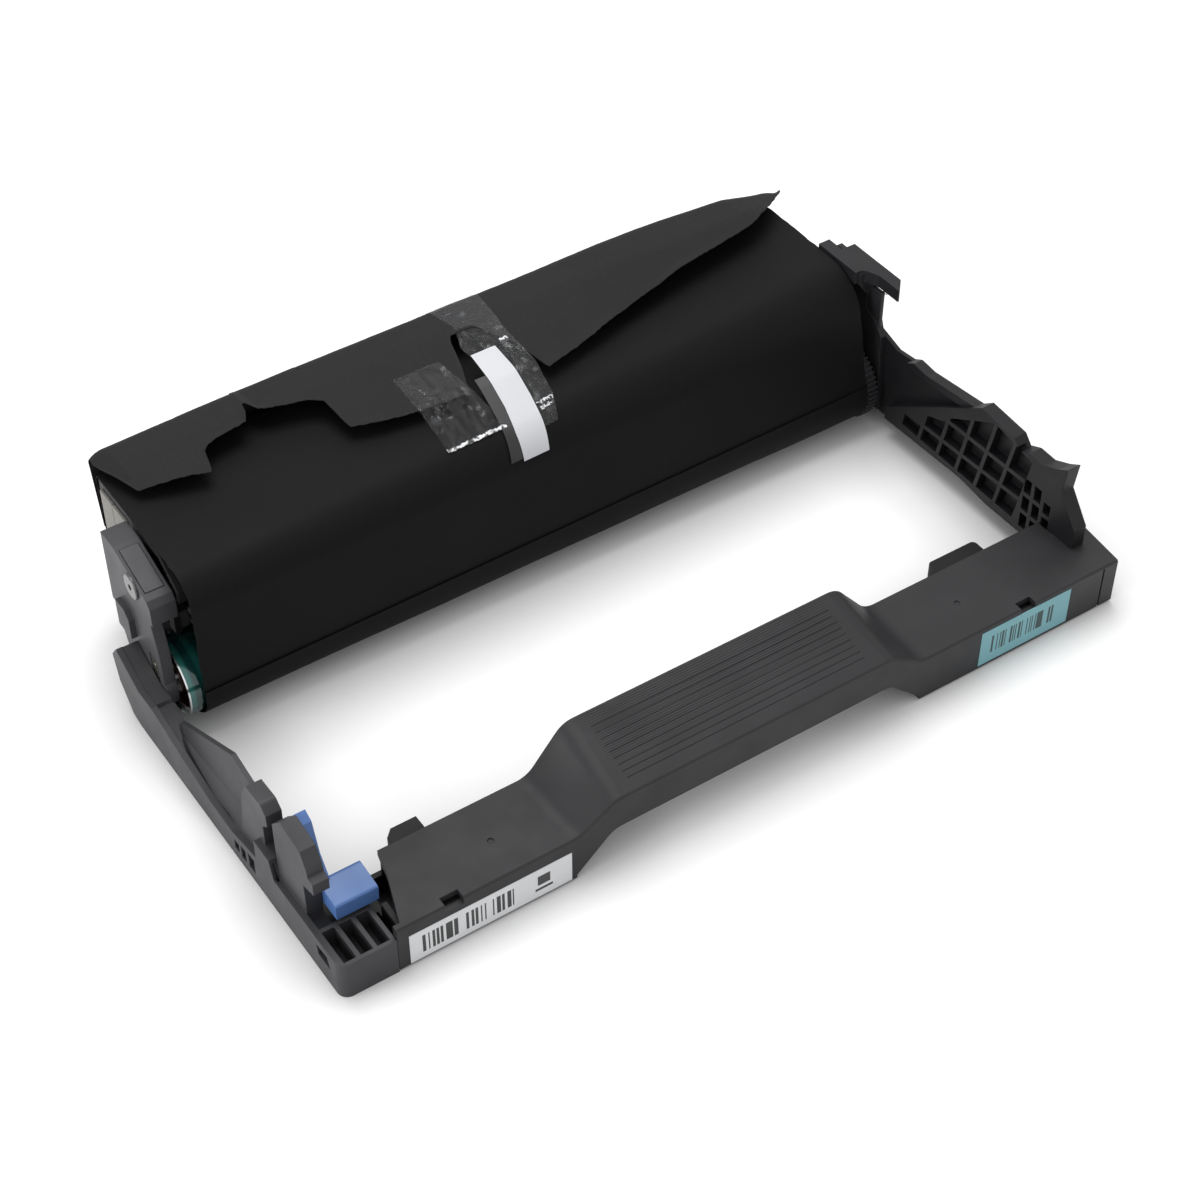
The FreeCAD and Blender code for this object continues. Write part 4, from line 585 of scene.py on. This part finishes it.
@dataclass(frozen=True)
class SoftPart:
    """Rubber, felt or foam, with pores of its own scale."""

    name: str
    colour: Colour
    roughness: float
    pore_scale: float
    pore: float
    pore_depth: float = 0.2 * MM

    def material(self) -> bpy.types.Material:
        """The node material of this finish."""
        graph = Graph(self.name)
        pores = graph.noise(self.pore_scale, 4.0)
        tone = graph.mix(graph.spread(pores, 0.0, 0.6), self.colour, tuple(c * 0.6 for c in self.colour))
        relief = graph.bump(pores, self.pore, self.pore_depth)
        return graph.finish(Base_Color=tone, Roughness=self.roughness, Normal=relief)


@dataclass(frozen=True)
class SheetMaker:
    """Makes a thin sheet from a flat grid of columns across it and rows along it."""

    name: str
    columns: int
    rows: int
    thick: float

    def make(self, place: Callable[[float, float], Vector]) -> bpy.types.Object:
        """Makes the sheet.

        Args:
            place: Gives the point at a share across and a share along.

        Returns:
            The finished piece at the origin, with its thickness below the given points.
        """
        bpy.ops.object.select_all(action="DESELECT")
        bpy.ops.mesh.primitive_grid_add(x_subdivisions=self.columns, y_subdivisions=self.rows, size=1.0,
                                        location=(0, 0, 0))
        piece = bpy.context.object
        piece.name = self.name
        for vertex in piece.data.vertices:
            across, way = (min(max(at + 0.5, 0.0), 1.0) for at in vertex.co[:2])
            vertex.co = place(across, way)
        wall = piece.modifiers.new("Thickness", "SOLIDIFY")
        wall.thickness = self.thick
        wall.offset = -1.0
        bpy.ops.object.modifier_apply(modifier=wall.name)
        face_outwards()
        shade()
        return piece


@dataclass
class PaperForm:
    """The shape of the sleeve and its flaps, which the tapes and strips follow too."""

    left: float = -149.5 * MM
    right: float = 150.5 * MM
    drum_y: float = 42.0 * MM
    drum_z: float = 17.5 * MM
    radius: float = 16.0 * MM
    top: float = 70.9 * MM
    top_middle: float = 60.0 * MM
    back: float = 99.0 * MM
    box_bottom: float = 9.0 * MM
    left_lean: float = 0.0001
    right_lean: float = math.radians(12)
    left_round: float = 12.0 * MM
    right_round: float = 22.0 * MM
    back_round: float = 3.0 * MM
    low_round: float = 6.0 * MM
    belly_round: float = 30.0 * MM
    belly_shift: float = 5.0 * MM
    lap_start: float = 0.012
    lap_end: float = 0.055
    arc_steps: int = 10
    flap_steps: int = 12
    path_steps: int = 240
    ridge_line: Line = field(default_factory=lambda: [
        (-0.1495, 0.0780), (-0.06, 0.0798), (0.0, 0.0805), (0.09, 0.0812), (0.13, 0.0804), (0.154, 0.0776)])
    ridge_y_line: Line = field(default_factory=lambda: [
        (-0.1495, 0.1040), (-0.10, 0.1048), (0.10, 0.1048), (0.13, 0.1025), (0.154, 0.0975)])
    slope_line: Line = field(default_factory=lambda: [(0.045, -0.0062), (0.072, -0.0018), (0.087, 0.0002)])
    crest: float = 3.0 * MM
    shoulder: float = 4.0 * MM
    fold_cut: float = 0.8 * MM
    wall_gap: float = 0.7 * MM
    wall_least: float = 6.0 * MM
    tip_start: float = 4.0 * MM
    tip_fade: float = 6.0 * MM
    bridge: float = 57.5 * MM
    wrap_low: float = 64.0 * MM
    wall_low: float = 45.0 * MM
    torn_edge: Line = field(default_factory=lambda: [
        (-0.1495, 0.0990), (-0.1480, 0.0940), (-0.1424, 0.0773), (-0.1167, 0.0697), (-0.1158, 0.0730),
        (-0.1143, 0.0800), (-0.1120, 0.0822), (-0.1060, 0.0838), (-0.0949, 0.0850), (-0.0930, 0.0885),
        (-0.0921, 0.0940), (-0.0905, 0.0920), (-0.0883, 0.0881), (-0.0767, 0.0851), (-0.0704, 0.0836),
        (-0.0652, 0.0801), (-0.0644, 0.0716), (-0.0637, 0.0646), (-0.0531, 0.0609), (-0.0399, 0.0589),
        (-0.0171, 0.0568), (-0.0125, 0.0700), (-0.0095, 0.0825), (-0.0080, 0.0854),
        (0.0020, 0.0850), (0.0113, 0.0705), (0.0157, 0.0536), (0.0373, 0.0591), (0.0609, 0.0662),
        (0.0940, 0.0738), (0.1154, 0.0777), (0.1300, 0.0804), (0.1432, 0.0866), (0.1540, 0.0935)])

    def corner(self, before: tuple[float, float], point: tuple[float, float], after: tuple[float, float],
               radius: float) -> Line:
        """Points of the arc that rounds a corner.

        Args:
            before: The corner before.
            point: The corner itself.
            after: The corner after.
            radius: Radius of the arc.

        Returns:
            Points from where the arc begins to where it ends.
        """
        here = Vector(point)
        one, two = (Vector(before) - here).normalized(), (Vector(after) - here).normalized()
        half = one.angle(two) / 2
        reach = radius / math.tan(half)
        middle = here + (one + two).normalized() * (radius / math.sin(half))
        start, end = here + one * reach - middle, here + two * reach - middle
        turn = start.angle_signed(end)
        points: Line = []
        for step in range(self.arc_steps + 1):
            angle = -turn * step / self.arc_steps
            x = start.x * math.cos(angle) - start.y * math.sin(angle)
            y = start.x * math.sin(angle) + start.y * math.cos(angle)
            points.append((middle.x + x, middle.y + y))
        return points

    def profile(self, lean: float, bend: float) -> Line:
        """The sleeve's end view, from the low front seam over the top and back under the drum.

        Args:
            lean: Lean of the front in radians.
            bend: Radius of the bend from the front to the top.

        Returns:
            Points (y, z).
        """
        slope = math.tan(lean)
        reach = self.radius / math.cos(lean)
        bottom = self.drum_z - self.radius
        front_y = self.drum_y - reach + (self.top - self.drum_z) * slope
        low_front = (self.drum_y - reach - self.radius * slope, bottom)
        belly = (self.drum_y + self.belly_shift, bottom)
        corners = [low_front, (front_y, self.top), (self.back, self.top), (self.back, self.box_bottom), belly]
        radii = [self.radius, bend, self.back_round, self.low_round, self.belly_round]
        loop: Line = []
        for index in range(1, len(corners) + 1):
            at = index % len(corners)
            loop += self.corner(corners[at - 1], corners[at], corners[(at + 1) % len(corners)], radii[at])
        seam = loop[-1]
        rise = (front_y - seam[0], self.top - seam[1])
        start, end = ((seam[0] + rise[0] * lap, seam[1] + rise[1] * lap)
                      for lap in (self.lap_start, self.lap_end))
        return [start] + loop + [end]

    def section(self, x: float, count: int) -> Line:
        """The sleeve's end view at a place along the unit, at even steps."""
        share = (x - self.left) / (self.right - self.left)
        one = self.profile(self.left_lean, self.left_round)
        two = self.profile(self.right_lean, self.right_round)
        mixed = [(between(a[0], b[0], share), between(a[1], b[1], share)) for a, b in zip(one, two)]
        return evenly(mixed, count)

    def flap_path(self, x: float, front: float) -> Line:
        """Side view of a flap from its front edge over the fold and down the rear wall.

        Args:
            x: Place along the unit.
            front: Y of the flap's front edge there.

        Returns:
            Points (y, z).
        """
        ridge, ridge_y = along(self.ridge_line, x), along(self.ridge_y_line, x)
        heights = self.flap_heights(x)
        path: Line = [(front, along(heights, front))]
        for step in range(1, self.flap_steps + 1):
            y = between(front, ridge_y - self.crest, step / self.flap_steps)
            path.append((y, along(heights, y)))
        tip = smooth((x - self.right + self.tip_start) / self.tip_fade)
        low = between(self.wall_low, ridge - self.wall_least, tip)
        high = ridge - self.shoulder
        path += [(ridge_y - self.fold_cut, ridge - self.fold_cut), (ridge_y, high)]
        path += [(between(ridge_y, self.back + self.wall_gap, share), between(high, low, share))
                 for share in (0.25, 0.5, 0.75, 1.0)]
        return path

    def surface(self, x: float, y_back: float, drop: float) -> Line:
        """Path over the flaps and down the front of the sleeve.

        Args:
            x: Place along the unit.
            y_back: Y where the path begins.
            drop: Z where it ends on the front.

        Returns:
            Points (y, z) from the back to the front.
        """
        section = self.section(x, self.path_steps)
        top_end = max(range(len(section)),
                      key=lambda i: section[i][1] - abs(section[i][0] - self.top_middle) * 0.01)
        front = [point for point in section[:top_end] if point[1] > drop]
        flap = self.flap_path(x, min(along(self.torn_edge, x), self.bridge))
        path = [point for point in reversed(flap) if point[0] <= y_back and point[1] > self.wrap_low]
        if y_back < flap[0][0]:
            path = [(y_back, self.top)]
        return taut(path + front[::-1])

    def flap_heights(self, x: float) -> Line:
        """Height of the flaps' upper side by Y at a place along the unit."""
        ridge, ridge_y = along(self.ridge_line, x), along(self.ridge_y_line, x)
        return [(y, ridge + rise) for y, rise in self.slope_line] + [(ridge_y - self.shoulder, ridge)]


@dataclass
class ProtectivePaper:
    """Sleeve of black paper with a torn flap and a cut flap that come forward from the rear fold."""

    form: PaperForm
    thick: float = 0.25 * MM
    columns: int = 200
    rows: int = 170
    flap_columns: int = 440
    flap_rows: int = 84
    ripple: float = 0.35 * MM
    fray: float = 0.4 * MM
    lap_lift: float = 0.7 * MM
    curl: float = 0.7 * MM
    peak: float = 1.6 * MM
    peak_x: float = -91.5 * MM
    peak_width: float = 4.0 * MM
    droop: float = 3.0 * MM
    droop_x: float = -122.0 * MM
    droop_run: float = 27.0 * MM
    tip: float = 2.0 * MM
    tip_x: float = 120.0 * MM
    tip_run: float = 38.0 * MM

    def sleeve(self) -> bpy.types.Object:
        """Makes the lower layer, wrapped once round with its end lapped over the start in front."""
        form = self.form
        sections = [form.section(between(form.left, form.right, i / self.columns), self.rows)
                    for i in range(self.columns + 1)]
        paths = [offset(section, lambda share: self.lap_lift * smooth((share - 0.93) / 0.04))
                 for section in sections]

        def place(across: float, way: float) -> Vector:
            x = between(form.left, form.right, across)
            path = paths[round(across * self.columns)]
            index = round(way * self.rows)
            y, z = path[index]
            a, b = path[max(index - 1, 0)], path[min(index + 1, self.rows)]
            reach = math.dist(a, b)
            calm = smooth(way / 0.05) * smooth((1 - way) / 0.05)
            out = wave(x * 18, y * 26, z * 26, self.ripple)
            out = (out + wave(x * 60, y * 70, z * 70, self.ripple) * 0.25) * calm
            frayed = wave(0.5, y * 300, z * 300, self.fray)
            end = 1 if across > 0.999 else (-1 if across < 0.001 else 0)
            return Vector((x + end * frayed, y - (b[1] - a[1]) / reach * out,
                           z + (b[0] - a[0]) / reach * out))

        return SheetMaker("paper_sleeve", self.columns, self.rows, self.thick).make(place)

    def lift(self, x: float, way: float) -> float:
        """Lift of the upper layer above its plain shape.

        Args:
            x: Place along the unit.
            way: Share of the way from its front edge over the fold.

        Returns:
            The lift, which may be a droop.
        """
        front = smooth(1 - way / 0.4)
        rise = self.curl * smooth(1 - way / 0.06) * (0.5 + wave(x * 90, 1.7, 0.2, 1.0))
        rise += self.peak * math.exp(-((x - self.peak_x) / self.peak_width) ** 2) * smooth(1 - way / 0.3)
        rise -= self.droop * smooth((self.droop_x - x) / self.droop_run) * front
        rise += self.tip * smooth((x - self.tip_x) / self.tip_run) * front
        return rise

    def flaps(self) -> bpy.types.Object:
        """Makes the upper layer: over the fold, then forward to its torn and cut edges."""
        form = self.form
        edge = form.torn_edge
        start, end = edge[0][0], edge[-1][0]
        paths: list[Line] = []
        for column in range(self.flap_columns + 1):
            x = between(start, end, column / self.flap_columns)
            front = along(edge, x) + wave(x * 700, 0.3, 0.7, self.fray)
            path = softened(evenly(form.flap_path(x, front), self.flap_rows), 4)
            paths.append(evenly(path, self.flap_rows))

        def place(across: float, way: float) -> Vector:
            x = between(start, end, across)
            y, z = paths[round(across * self.flap_columns)][round(way * self.flap_rows)]
            swell = wave(x * 22, y * 30, 3.1, 0.6 * MM) + wave(x * 75, y * 60, 7.1, 0.18 * MM)
            return Vector((x, y, z + swell * smooth((0.75 - way) / 0.3) + self.lift(x, way)))

        return SheetMaker("paper_flaps", self.flap_columns, self.flap_rows, self.thick).make(place)

    def build(self) -> list[bpy.types.Object]:
        """Makes the sleeve and its flaps, and hides the plain solid."""
        pieces = [self.sleeve(), self.flaps()]
        # The flaps' paper is about three times lighter than the sleeve's.
        finishes = [Paper(), Paper("flap_paper_dark", (0.0172, 0.0172, 0.0180), 0.6, 0.1)]
        for piece, finish in zip(pieces, finishes):
            piece.data.materials.append(finish.material())
            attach(piece, Body.FRAME.value)
        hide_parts("protective_paper")
        return pieces


@dataclass
class Strip:
    """A tape or strip that lies over the flaps and the front of the sleeve.

    Its left and right sides give X by the share of its length. It runs from the Y called back to
    the Z called low.
    """

    name: str
    node: str
    slot: str
    finish: Finish
    left: Line
    right: Line
    back: float
    low: float
    lift: float
    columns: int
    rows: int
    crumple: float = 0.0
    thick: float = 0.06 * MM

    def build(self, form: PaperForm) -> bpy.types.Object:
        """Makes the strip on the paper that it follows, and hides its plain solid."""
        paths: list[Line] = []
        for column in range(self.columns + 1):
            x = between(self.left[0][1], self.right[0][1], column / self.columns)
            route = softened(evenly(form.surface(x, self.back, self.low), self.rows), 6)
            paths.append(offset(route, lambda _: -self.lift))

        def place(across: float, way: float) -> Vector:
            y, z = paths[round(across * self.columns)][round(way * self.rows)]
            x = between(along(self.left, way), along(self.right, way), across)
            crease = abs(wave(x * 260, y * 120, z * 120 + 0.4, self.crumple))
            return Vector((x, y - crease * 0.6, z + crease))

        piece = SheetMaker(self.name, self.columns, self.rows, self.thick).make(place)
        piece.data.materials.append(self.finish.material())
        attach(piece, Body.FRAME.value)
        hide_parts(self.node)
        return piece


@dataclass
class Wrapping:
    """The paper with its tapes and strips."""

    form: PaperForm = field(default_factory=PaperForm)

    def strips(self) -> list[Strip]:
        """The two clear tapes, the dark strip and the white strip beside it."""
        # Painted glint lines along the creases of the two tapes.
        long_glint_lines = (GlintLine(0.45, 0.97, 0.885, 0.005), GlintLine(0.50, 0.99, 0.915, 0.005),
                        GlintLine(0.74, 0.90, 0.50, 0.007))
        short_glint_lines = (GlintLine(0.0, 1.0, 0.975, 0.018),)
        return [
            Strip("tape_long", "long_tape", "clear_tape",
                  ClearTape("tape_clear_long", 0.06, 0.5, creases=long_glint_lines),
                  [(0.0, -0.0075), (0.16, -0.0075), (0.32, -0.0043), (0.46, -0.0082), (0.9, -0.0030),
                   (1.0, -0.0016)],
                  [(0.0, 0.0141), (0.16, 0.0141), (0.32, 0.0128), (0.46, 0.0120), (0.68, 0.0131),
                   (0.88, 0.0114), (1.0, 0.0076)],
                  0.1060, 0.0665, 0.31 * MM, 24, 120, 0.20 * MM),
            Strip("tape_short", "short_tape", "clear_tape",
                  ClearTape("tape_clear_short", 0.04, 0.8, (0.2, 0.204, 0.21), short_glint_lines),
                  [(0.0, -0.0387), (0.5, -0.0382), (1.0, -0.0379)],
                  [(0.0, -0.0191), (0.5, -0.0153), (1.0, -0.0120)],
                  0.0765, 0.0695, 0.45 * MM, 36, 60, 0.45 * MM),
            Strip("strip_dark", "dark_strip", "dark_strip",
                  PrintedLabel("strip_black", (0.012, 0.012, 0.013), (0.5, 0.5, 0.5)),
                  [(0.0, -0.0125), (0.5, -0.0138), (1.0, -0.0165)],
                  [(0.0, -0.0068), (0.5, -0.0085), (1.0, -0.0115)],
                  0.0640, 0.0600, 0.6 * MM, 8, 80),
            Strip("strip_white", "notice_strip", "white_strip",
                  PrintedLabel("strip_white", (0.72, 0.73, 0.76), (0.02, 0.02, 0.02)),
                  [(0.0, -0.0072), (0.25, -0.0076), (0.55, -0.0086), (0.78, -0.0106), (1.0, -0.0112)],
                  [(0.0, 0.0035), (0.25, 0.0039), (0.55, 0.0030), (0.78, 0.0016), (1.0, 0.0000)],
                  0.0742, 0.0592, 0.8 * MM, 12, 90)]

    def build(self) -> list[bpy.types.Object]:
        """Makes all the paper, tapes and strips."""
        return ProtectivePaper(self.form).build() + [strip.build(self.form) for strip in self.strips()]


@dataclass
class BracketWeb:
    """Web of the right bracket between its roof and its wall, in front of the wall's notch.

    Each cut is a plane through the point (y, z) that takes off what lies towards (across, up).
    """

    left: float = 158.1 * MM
    right: float = 159.9 * MM
    front: float = 31.3 * MM
    rear: float = 39.6 * MM
    low: float = 47.0 * MM
    high: float = 64.2 * MM
    edge: float = 0.3 * MM
    edge_steps: int = 3
    cuts: tuple[tuple[float, float, float, float], ...] = (
        (31.3 * MM, 47.0 * MM, 0.45, -0.8), (39.6 * MM, 60.0 * MM, 0.86, 0.5))
    finish: Finish = Moulding("web_grey", (0.016, 0.016, 0.018), 0.5, gloss=0.3)

    def build(self) -> list[bpy.types.Object]:
        """Makes the web from a block whose corners are cut off."""
        bpy.ops.object.select_all(action="DESELECT")
        middle = ((self.left + self.right) / 2, (self.front + self.rear) / 2, (self.low + self.high) / 2)
        size = (self.right - self.left, self.rear - self.front, self.high - self.low)
        bpy.ops.mesh.primitive_cube_add(size=1.0, location=middle, scale=size)
        piece = bpy.context.object
        piece.name = "bracket_web"
        bpy.ops.object.transform_apply(location=True, rotation=True, scale=True)
        bpy.ops.object.mode_set(mode="EDIT")
        for y, z, across, up in self.cuts:
            bpy.ops.mesh.select_all(action="SELECT")
            bpy.ops.mesh.bisect(plane_co=(0, y, z), plane_no=(0, across, up), use_fill=True, clear_outer=True)
        face_outwards()
        rounding = piece.modifiers.new("Edges", "BEVEL")
        rounding.width, rounding.segments = self.edge, self.edge_steps
        bpy.ops.object.modifier_apply(modifier=rounding.name)
        shade()
        piece.data.materials.append(self.finish.material())
        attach(piece, Body.FRAME.value)
        return [piece]


@dataclass
class ReturnSpring:
    """Return spring of the lever, which in the real unit shortens and leans as the lever goes down; here it
    is a rigid copy of the imported one.
    """

    node: str = "lever_spring"
    foot: tuple[float, float, float] = (-150.8 * MM, -81.35 * MM, 11.4 * MM)
    seat: tuple[float, float, float] = (-150.8 * MM, -81.35 * MM, 19.6 * MM)
    weld: float = 0.001 * MM
    finish: Finish = Metal("lever_spring_steel", (0.5, 0.5, 0.5), 0.3)

    def build(self) -> list[bpy.types.Object]:
        """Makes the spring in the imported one's own form, and hides that."""
        bpy.ops.object.select_all(action="DESELECT")
        bpy.ops.mesh.primitive_cube_add(size=MM)
        piece = bpy.context.object
        piece.name = "return_spring"
        piece.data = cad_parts[self.node].data.copy()
        face_outwards(self.weld)
        shade()
        piece.data.materials.clear()
        piece.data.materials.append(self.finish.material())
        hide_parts(self.node)
        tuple(self.foot)
        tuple(self.seat)
        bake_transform(piece)
        return [piece]


@dataclass
class SolidFinishes:
    """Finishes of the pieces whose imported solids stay."""

    finishes: dict[str, Finish] = field(default_factory=lambda: {
        "front_bar_cover": GripMoulding("cover_grey", (0.0220, 0.0220, 0.0240), 0.5, gloss=0.3),
        "front_bar_base": Moulding("tray_black", (0.010, 0.010, 0.011), 0.5, gloss=0.2),
        # The right arm's grey is far darker than the left arm's: painted shade for the deep shadow in its
        # lattice.
        "right_arm": Moulding("arm_right_grey", (0.0085, 0.0085, 0.0100), 0.5, gloss=0.25),
        "left_arm": Moulding("arm_left_grey", (0.042, 0.042, 0.046), 0.5, gloss=0.3),
        "left_end_cap": Moulding("cap_grey", (0.052, 0.052, 0.057), 0.5, gloss=0.3),
        "left_cap_panel": Moulding("panel_grey", (0.055, 0.055, 0.060), 0.45, gloss=0.3),
        "left_guide_boss": Moulding("boss_grey", (0.07, 0.07, 0.074), 0.16),
        "right_end_bracket": Moulding("bracket_grey", (0.0140, 0.0140, 0.0160), 0.5, gloss=0.25),
        "bracket_pin": Metal("pin_zinc", (0.7, 0.7, 0.7), 0.25, (1, 1, 0.05)),
        "bar_screws": Metal("bar_screw_zinc", (0.55, 0.55, 0.54)),
        "end_screws": Metal("end_screw_zinc", (0.55, 0.55, 0.54)),
        "drum_tube": Photoconductor(),
        "drum_flange": Moulding("flange_brown", (0.075, 0.03, 0.018), 0.3),
        "drum_gear": Moulding("gear_dark", (0.03, 0.03, 0.033), 0.42),
        "drum_shaft": Metal("drum_shaft_steel", (0.62, 0.62, 0.62), 0.22),
        "ground_strip": Metal("contact_steel", (0.6, 0.58, 0.52), 0.25),
        "charge_roller": SoftPart("roller_rubber", (0.02, 0.02, 0.021), 0.6, 900.0, 0.2),
        "charge_roller_shaft": Metal("roller_shaft_steel", (0.62, 0.62, 0.62), 0.22),
        # The white plastic bearings are given a dark grey: painted shade for the shadow they sit in.
        "roller_bearings": Moulding("bearing_painted_shade", (0.06, 0.06, 0.058), 0.5, edge=0.0),
        "roller_springs": Metal("roller_spring_steel", (0.2, 0.2, 0.2), 0.4),
        "cleaner_housing": Moulding("trough_black", (0.012, 0.012, 0.013), 0.5, gloss=0.2),
        "cleaner_lid": Moulding("lid_black", (0.014, 0.014, 0.015), 0.5, gloss=0.2),
        "blade_holder": Metal("blade_plate_zinc", (0.6, 0.6, 0.58), 0.3),
        "cleaning_blade": SoftPart("blade_urethane", (0.3, 0.19, 0.08), 0.35, 500.0, 0.1),
        "recovery_film": ClearTape("film_clear", 0.35, 0.1, (0.5, 0.5, 0.5)),
        "blade_seals": SoftPart("seal_felt", (0.2, 0.2, 0.2), 0.95, 1500.0, 0.8),
        "end_foam": SoftPart("foam_grey", (0.3, 0.29, 0.27), 0.9, 700.0, 0.6),
        "front_label_white": PrintedLabel(
            "label_white", (0.84, 0.85, 0.87), (0.03, 0.03, 0.03),
            (BarField((-0.1385, -0.1010, 0.0040, 0.0125), 0.52 * MM, 0.52),),
            ((-0.0935, -0.0885, 0.0072, 0.0118), (-0.0945, -0.0875, 0.0046, 0.0058))),
        "front_label_teal": PrintedLabel(
            "label_teal", (0.21, 0.47, 0.52), (0.02, 0.05, 0.05),
            (BarField((0.1045, 0.1375, 0.0065, 0.0150), 0.5 * MM, 0.5),)),
        "release_lever": Moulding("lever_blue", (0.088, 0.188, 0.46), 0.4, edge=0.15)})

    def build(self) -> list[bpy.types.Object]:
        """Gives each remaining solid its finish."""
        pieces = []
        for node, finish in self.finishes.items():
            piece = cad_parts[node]
            piece.data.materials.clear()
            piece.data.materials.append(finish.material())
            pieces.append(piece)
        return pieces


@dataclass
class Studio:
    """Pale floor, soft lamps and the camera. Each lamp has a name, a place, a size and a power."""

    eye: tuple[float, float, float] = (-0.3633, -0.5424, 0.6368)
    facing: tuple[float, float, float] = (0.4022, 0.5964, -0.6947)
    lens: float = 72.0
    sensor: float = 36.0
    nearest: float = 10.0 * MM
    floor_size: float = 12.0
    floor_gap: float = 0.1 * MM
    floor_white: float = 0.8
    glow: float = 0.4
    painted_shadow_reach: float = 42.0 * MM
    painted_shadow_power: float = 2.0
    ambient: float = 0.45
    backdrop: float = 1.0
    aim: tuple[float, float, float] = (0.0, 0.0, 0.03)
    lamps: tuple[tuple[str, tuple[float, float, float], float, float], ...] = (
        ("lamp_top", (0.1, 0.5, 1.6), 1.1, 15.0),
        ("lamp_left", (-1.6, 0.1, 0.5), 1.0, 13.0),
        ("lamp_front", (-0.3, -1.6, 0.8), 1.0, 2.5))

    def floor(self) -> None:
        """Lays the floor, white where the camera sees it. Its diffuse part takes the real shadow, and ambient
        occlusion dims its glow near the unit as a painted shadow.
        """
        bpy.ops.object.select_all(action="DESELECT")
        bpy.ops.mesh.primitive_plane_add(size=self.floor_size, location=(0, 0, -self.floor_gap))
        ground = bpy.context.object
        ground.name = "studio_floor"
        graph = Graph("floor_white")
        rays = graph.node("LightPath").outputs
        seen = graph.math("MINIMUM", graph.math("ADD", graph.math(
            "ADD", rays["Is Camera Ray"], rays["Is Glossy Ray"]), rays["Is Transmission Ray"]), 1.0)
        # Ambient occlusion dims the glow near the unit: a painted shadow.
        near = graph.node("AmbientOcclusion", {"samples": 12}, Distance=self.painted_shadow_reach).outputs["AO"]
        seen = graph.math("MULTIPLY", seen, graph.math("POWER", near, self.painted_shadow_power))
        glow = graph.node("Emission", i0=(1, 1, 1, 1), i1=graph.math("MULTIPLY", seen, self.glow)).outputs[0]
        matt = graph.node("BsdfDiffuse", i0=(*[self.floor_white] * 3, 1)).outputs[0]
        both = graph.node("AddShader", i0=matt, i1=glow).outputs[0]
        graph.tree.links.new(both, graph.output.inputs[0])
        ground.data.materials.append(graph.material)

    def world(self) -> None:
        """Lights the room evenly, and shows white where the floor ends."""
        world = bpy.data.worlds.new("studio_world")
        bpy.context.scene.world = world
        world.use_nodes = True
        tree = world.node_tree
        tree.nodes.clear()
        rays = tree.nodes.new("ShaderNodeLightPath").outputs
        seen = tree.nodes.new("ShaderNodeMath")
        seen.operation = "MAXIMUM"
        tree.links.new(rays["Is Camera Ray"], seen.inputs[0])
        tree.links.new(rays["Is Glossy Ray"], seen.inputs[1])
        strength = tree.nodes.new("ShaderNodeMapRange")
        tree.links.new(seen.outputs[0], strength.inputs[0])
        strength.inputs[3].default_value = self.ambient
        strength.inputs[4].default_value = self.backdrop
        back = tree.nodes.new("ShaderNodeBackground")
        back.inputs[0].default_value = (1, 1, 1, 1)
        tree.links.new(strength.outputs[0], back.inputs[1])
        output = tree.nodes.new("ShaderNodeOutputWorld")
        tree.links.new(back.outputs[0], output.inputs[0])

    def build(self) -> None:
        """Sets the floor, the world, the lamps and the camera."""
        self.floor()
        self.world()
        scene = bpy.context.scene
        for name, where, size, power in self.lamps:
            lamp = bpy.data.lights.new(name, "AREA")
            lamp.size, lamp.energy = size, power
            holder = bpy.data.objects.new(name, lamp)
            holder.location = where
            holder.rotation_euler = (Vector(self.aim) - Vector(where)).to_track_quat("-Z", "Y").to_euler()
            scene.collection.objects.link(holder)
        camera = bpy.data.objects.new("camera", bpy.data.cameras.new("camera"))
        camera.data.lens, camera.data.sensor_width = self.lens, self.sensor
        camera.data.clip_start = self.nearest
        camera.location = self.eye
        camera.rotation_euler = Vector(self.facing).to_track_quat("-Z", "Y").to_euler()
        scene.collection.objects.link(camera)
        scene.camera = camera
        scene.view_settings.view_transform = "Standard"


def main() -> None:
    """Builds the unit and its room, and reports each piece."""
    logging.basicConfig(level=logging.INFO, format="%(message)s")
    pieces = [piece for group in (Wrapping(), BracketWeb(), ReturnSpring(), SolidFinishes())
              for piece in group.build()]
    Studio().build()
    for piece in pieces:
        LOG.info("%s: %d faces", piece.name, len(piece.data.polygons))


if __name__ == "__main__":
    main()
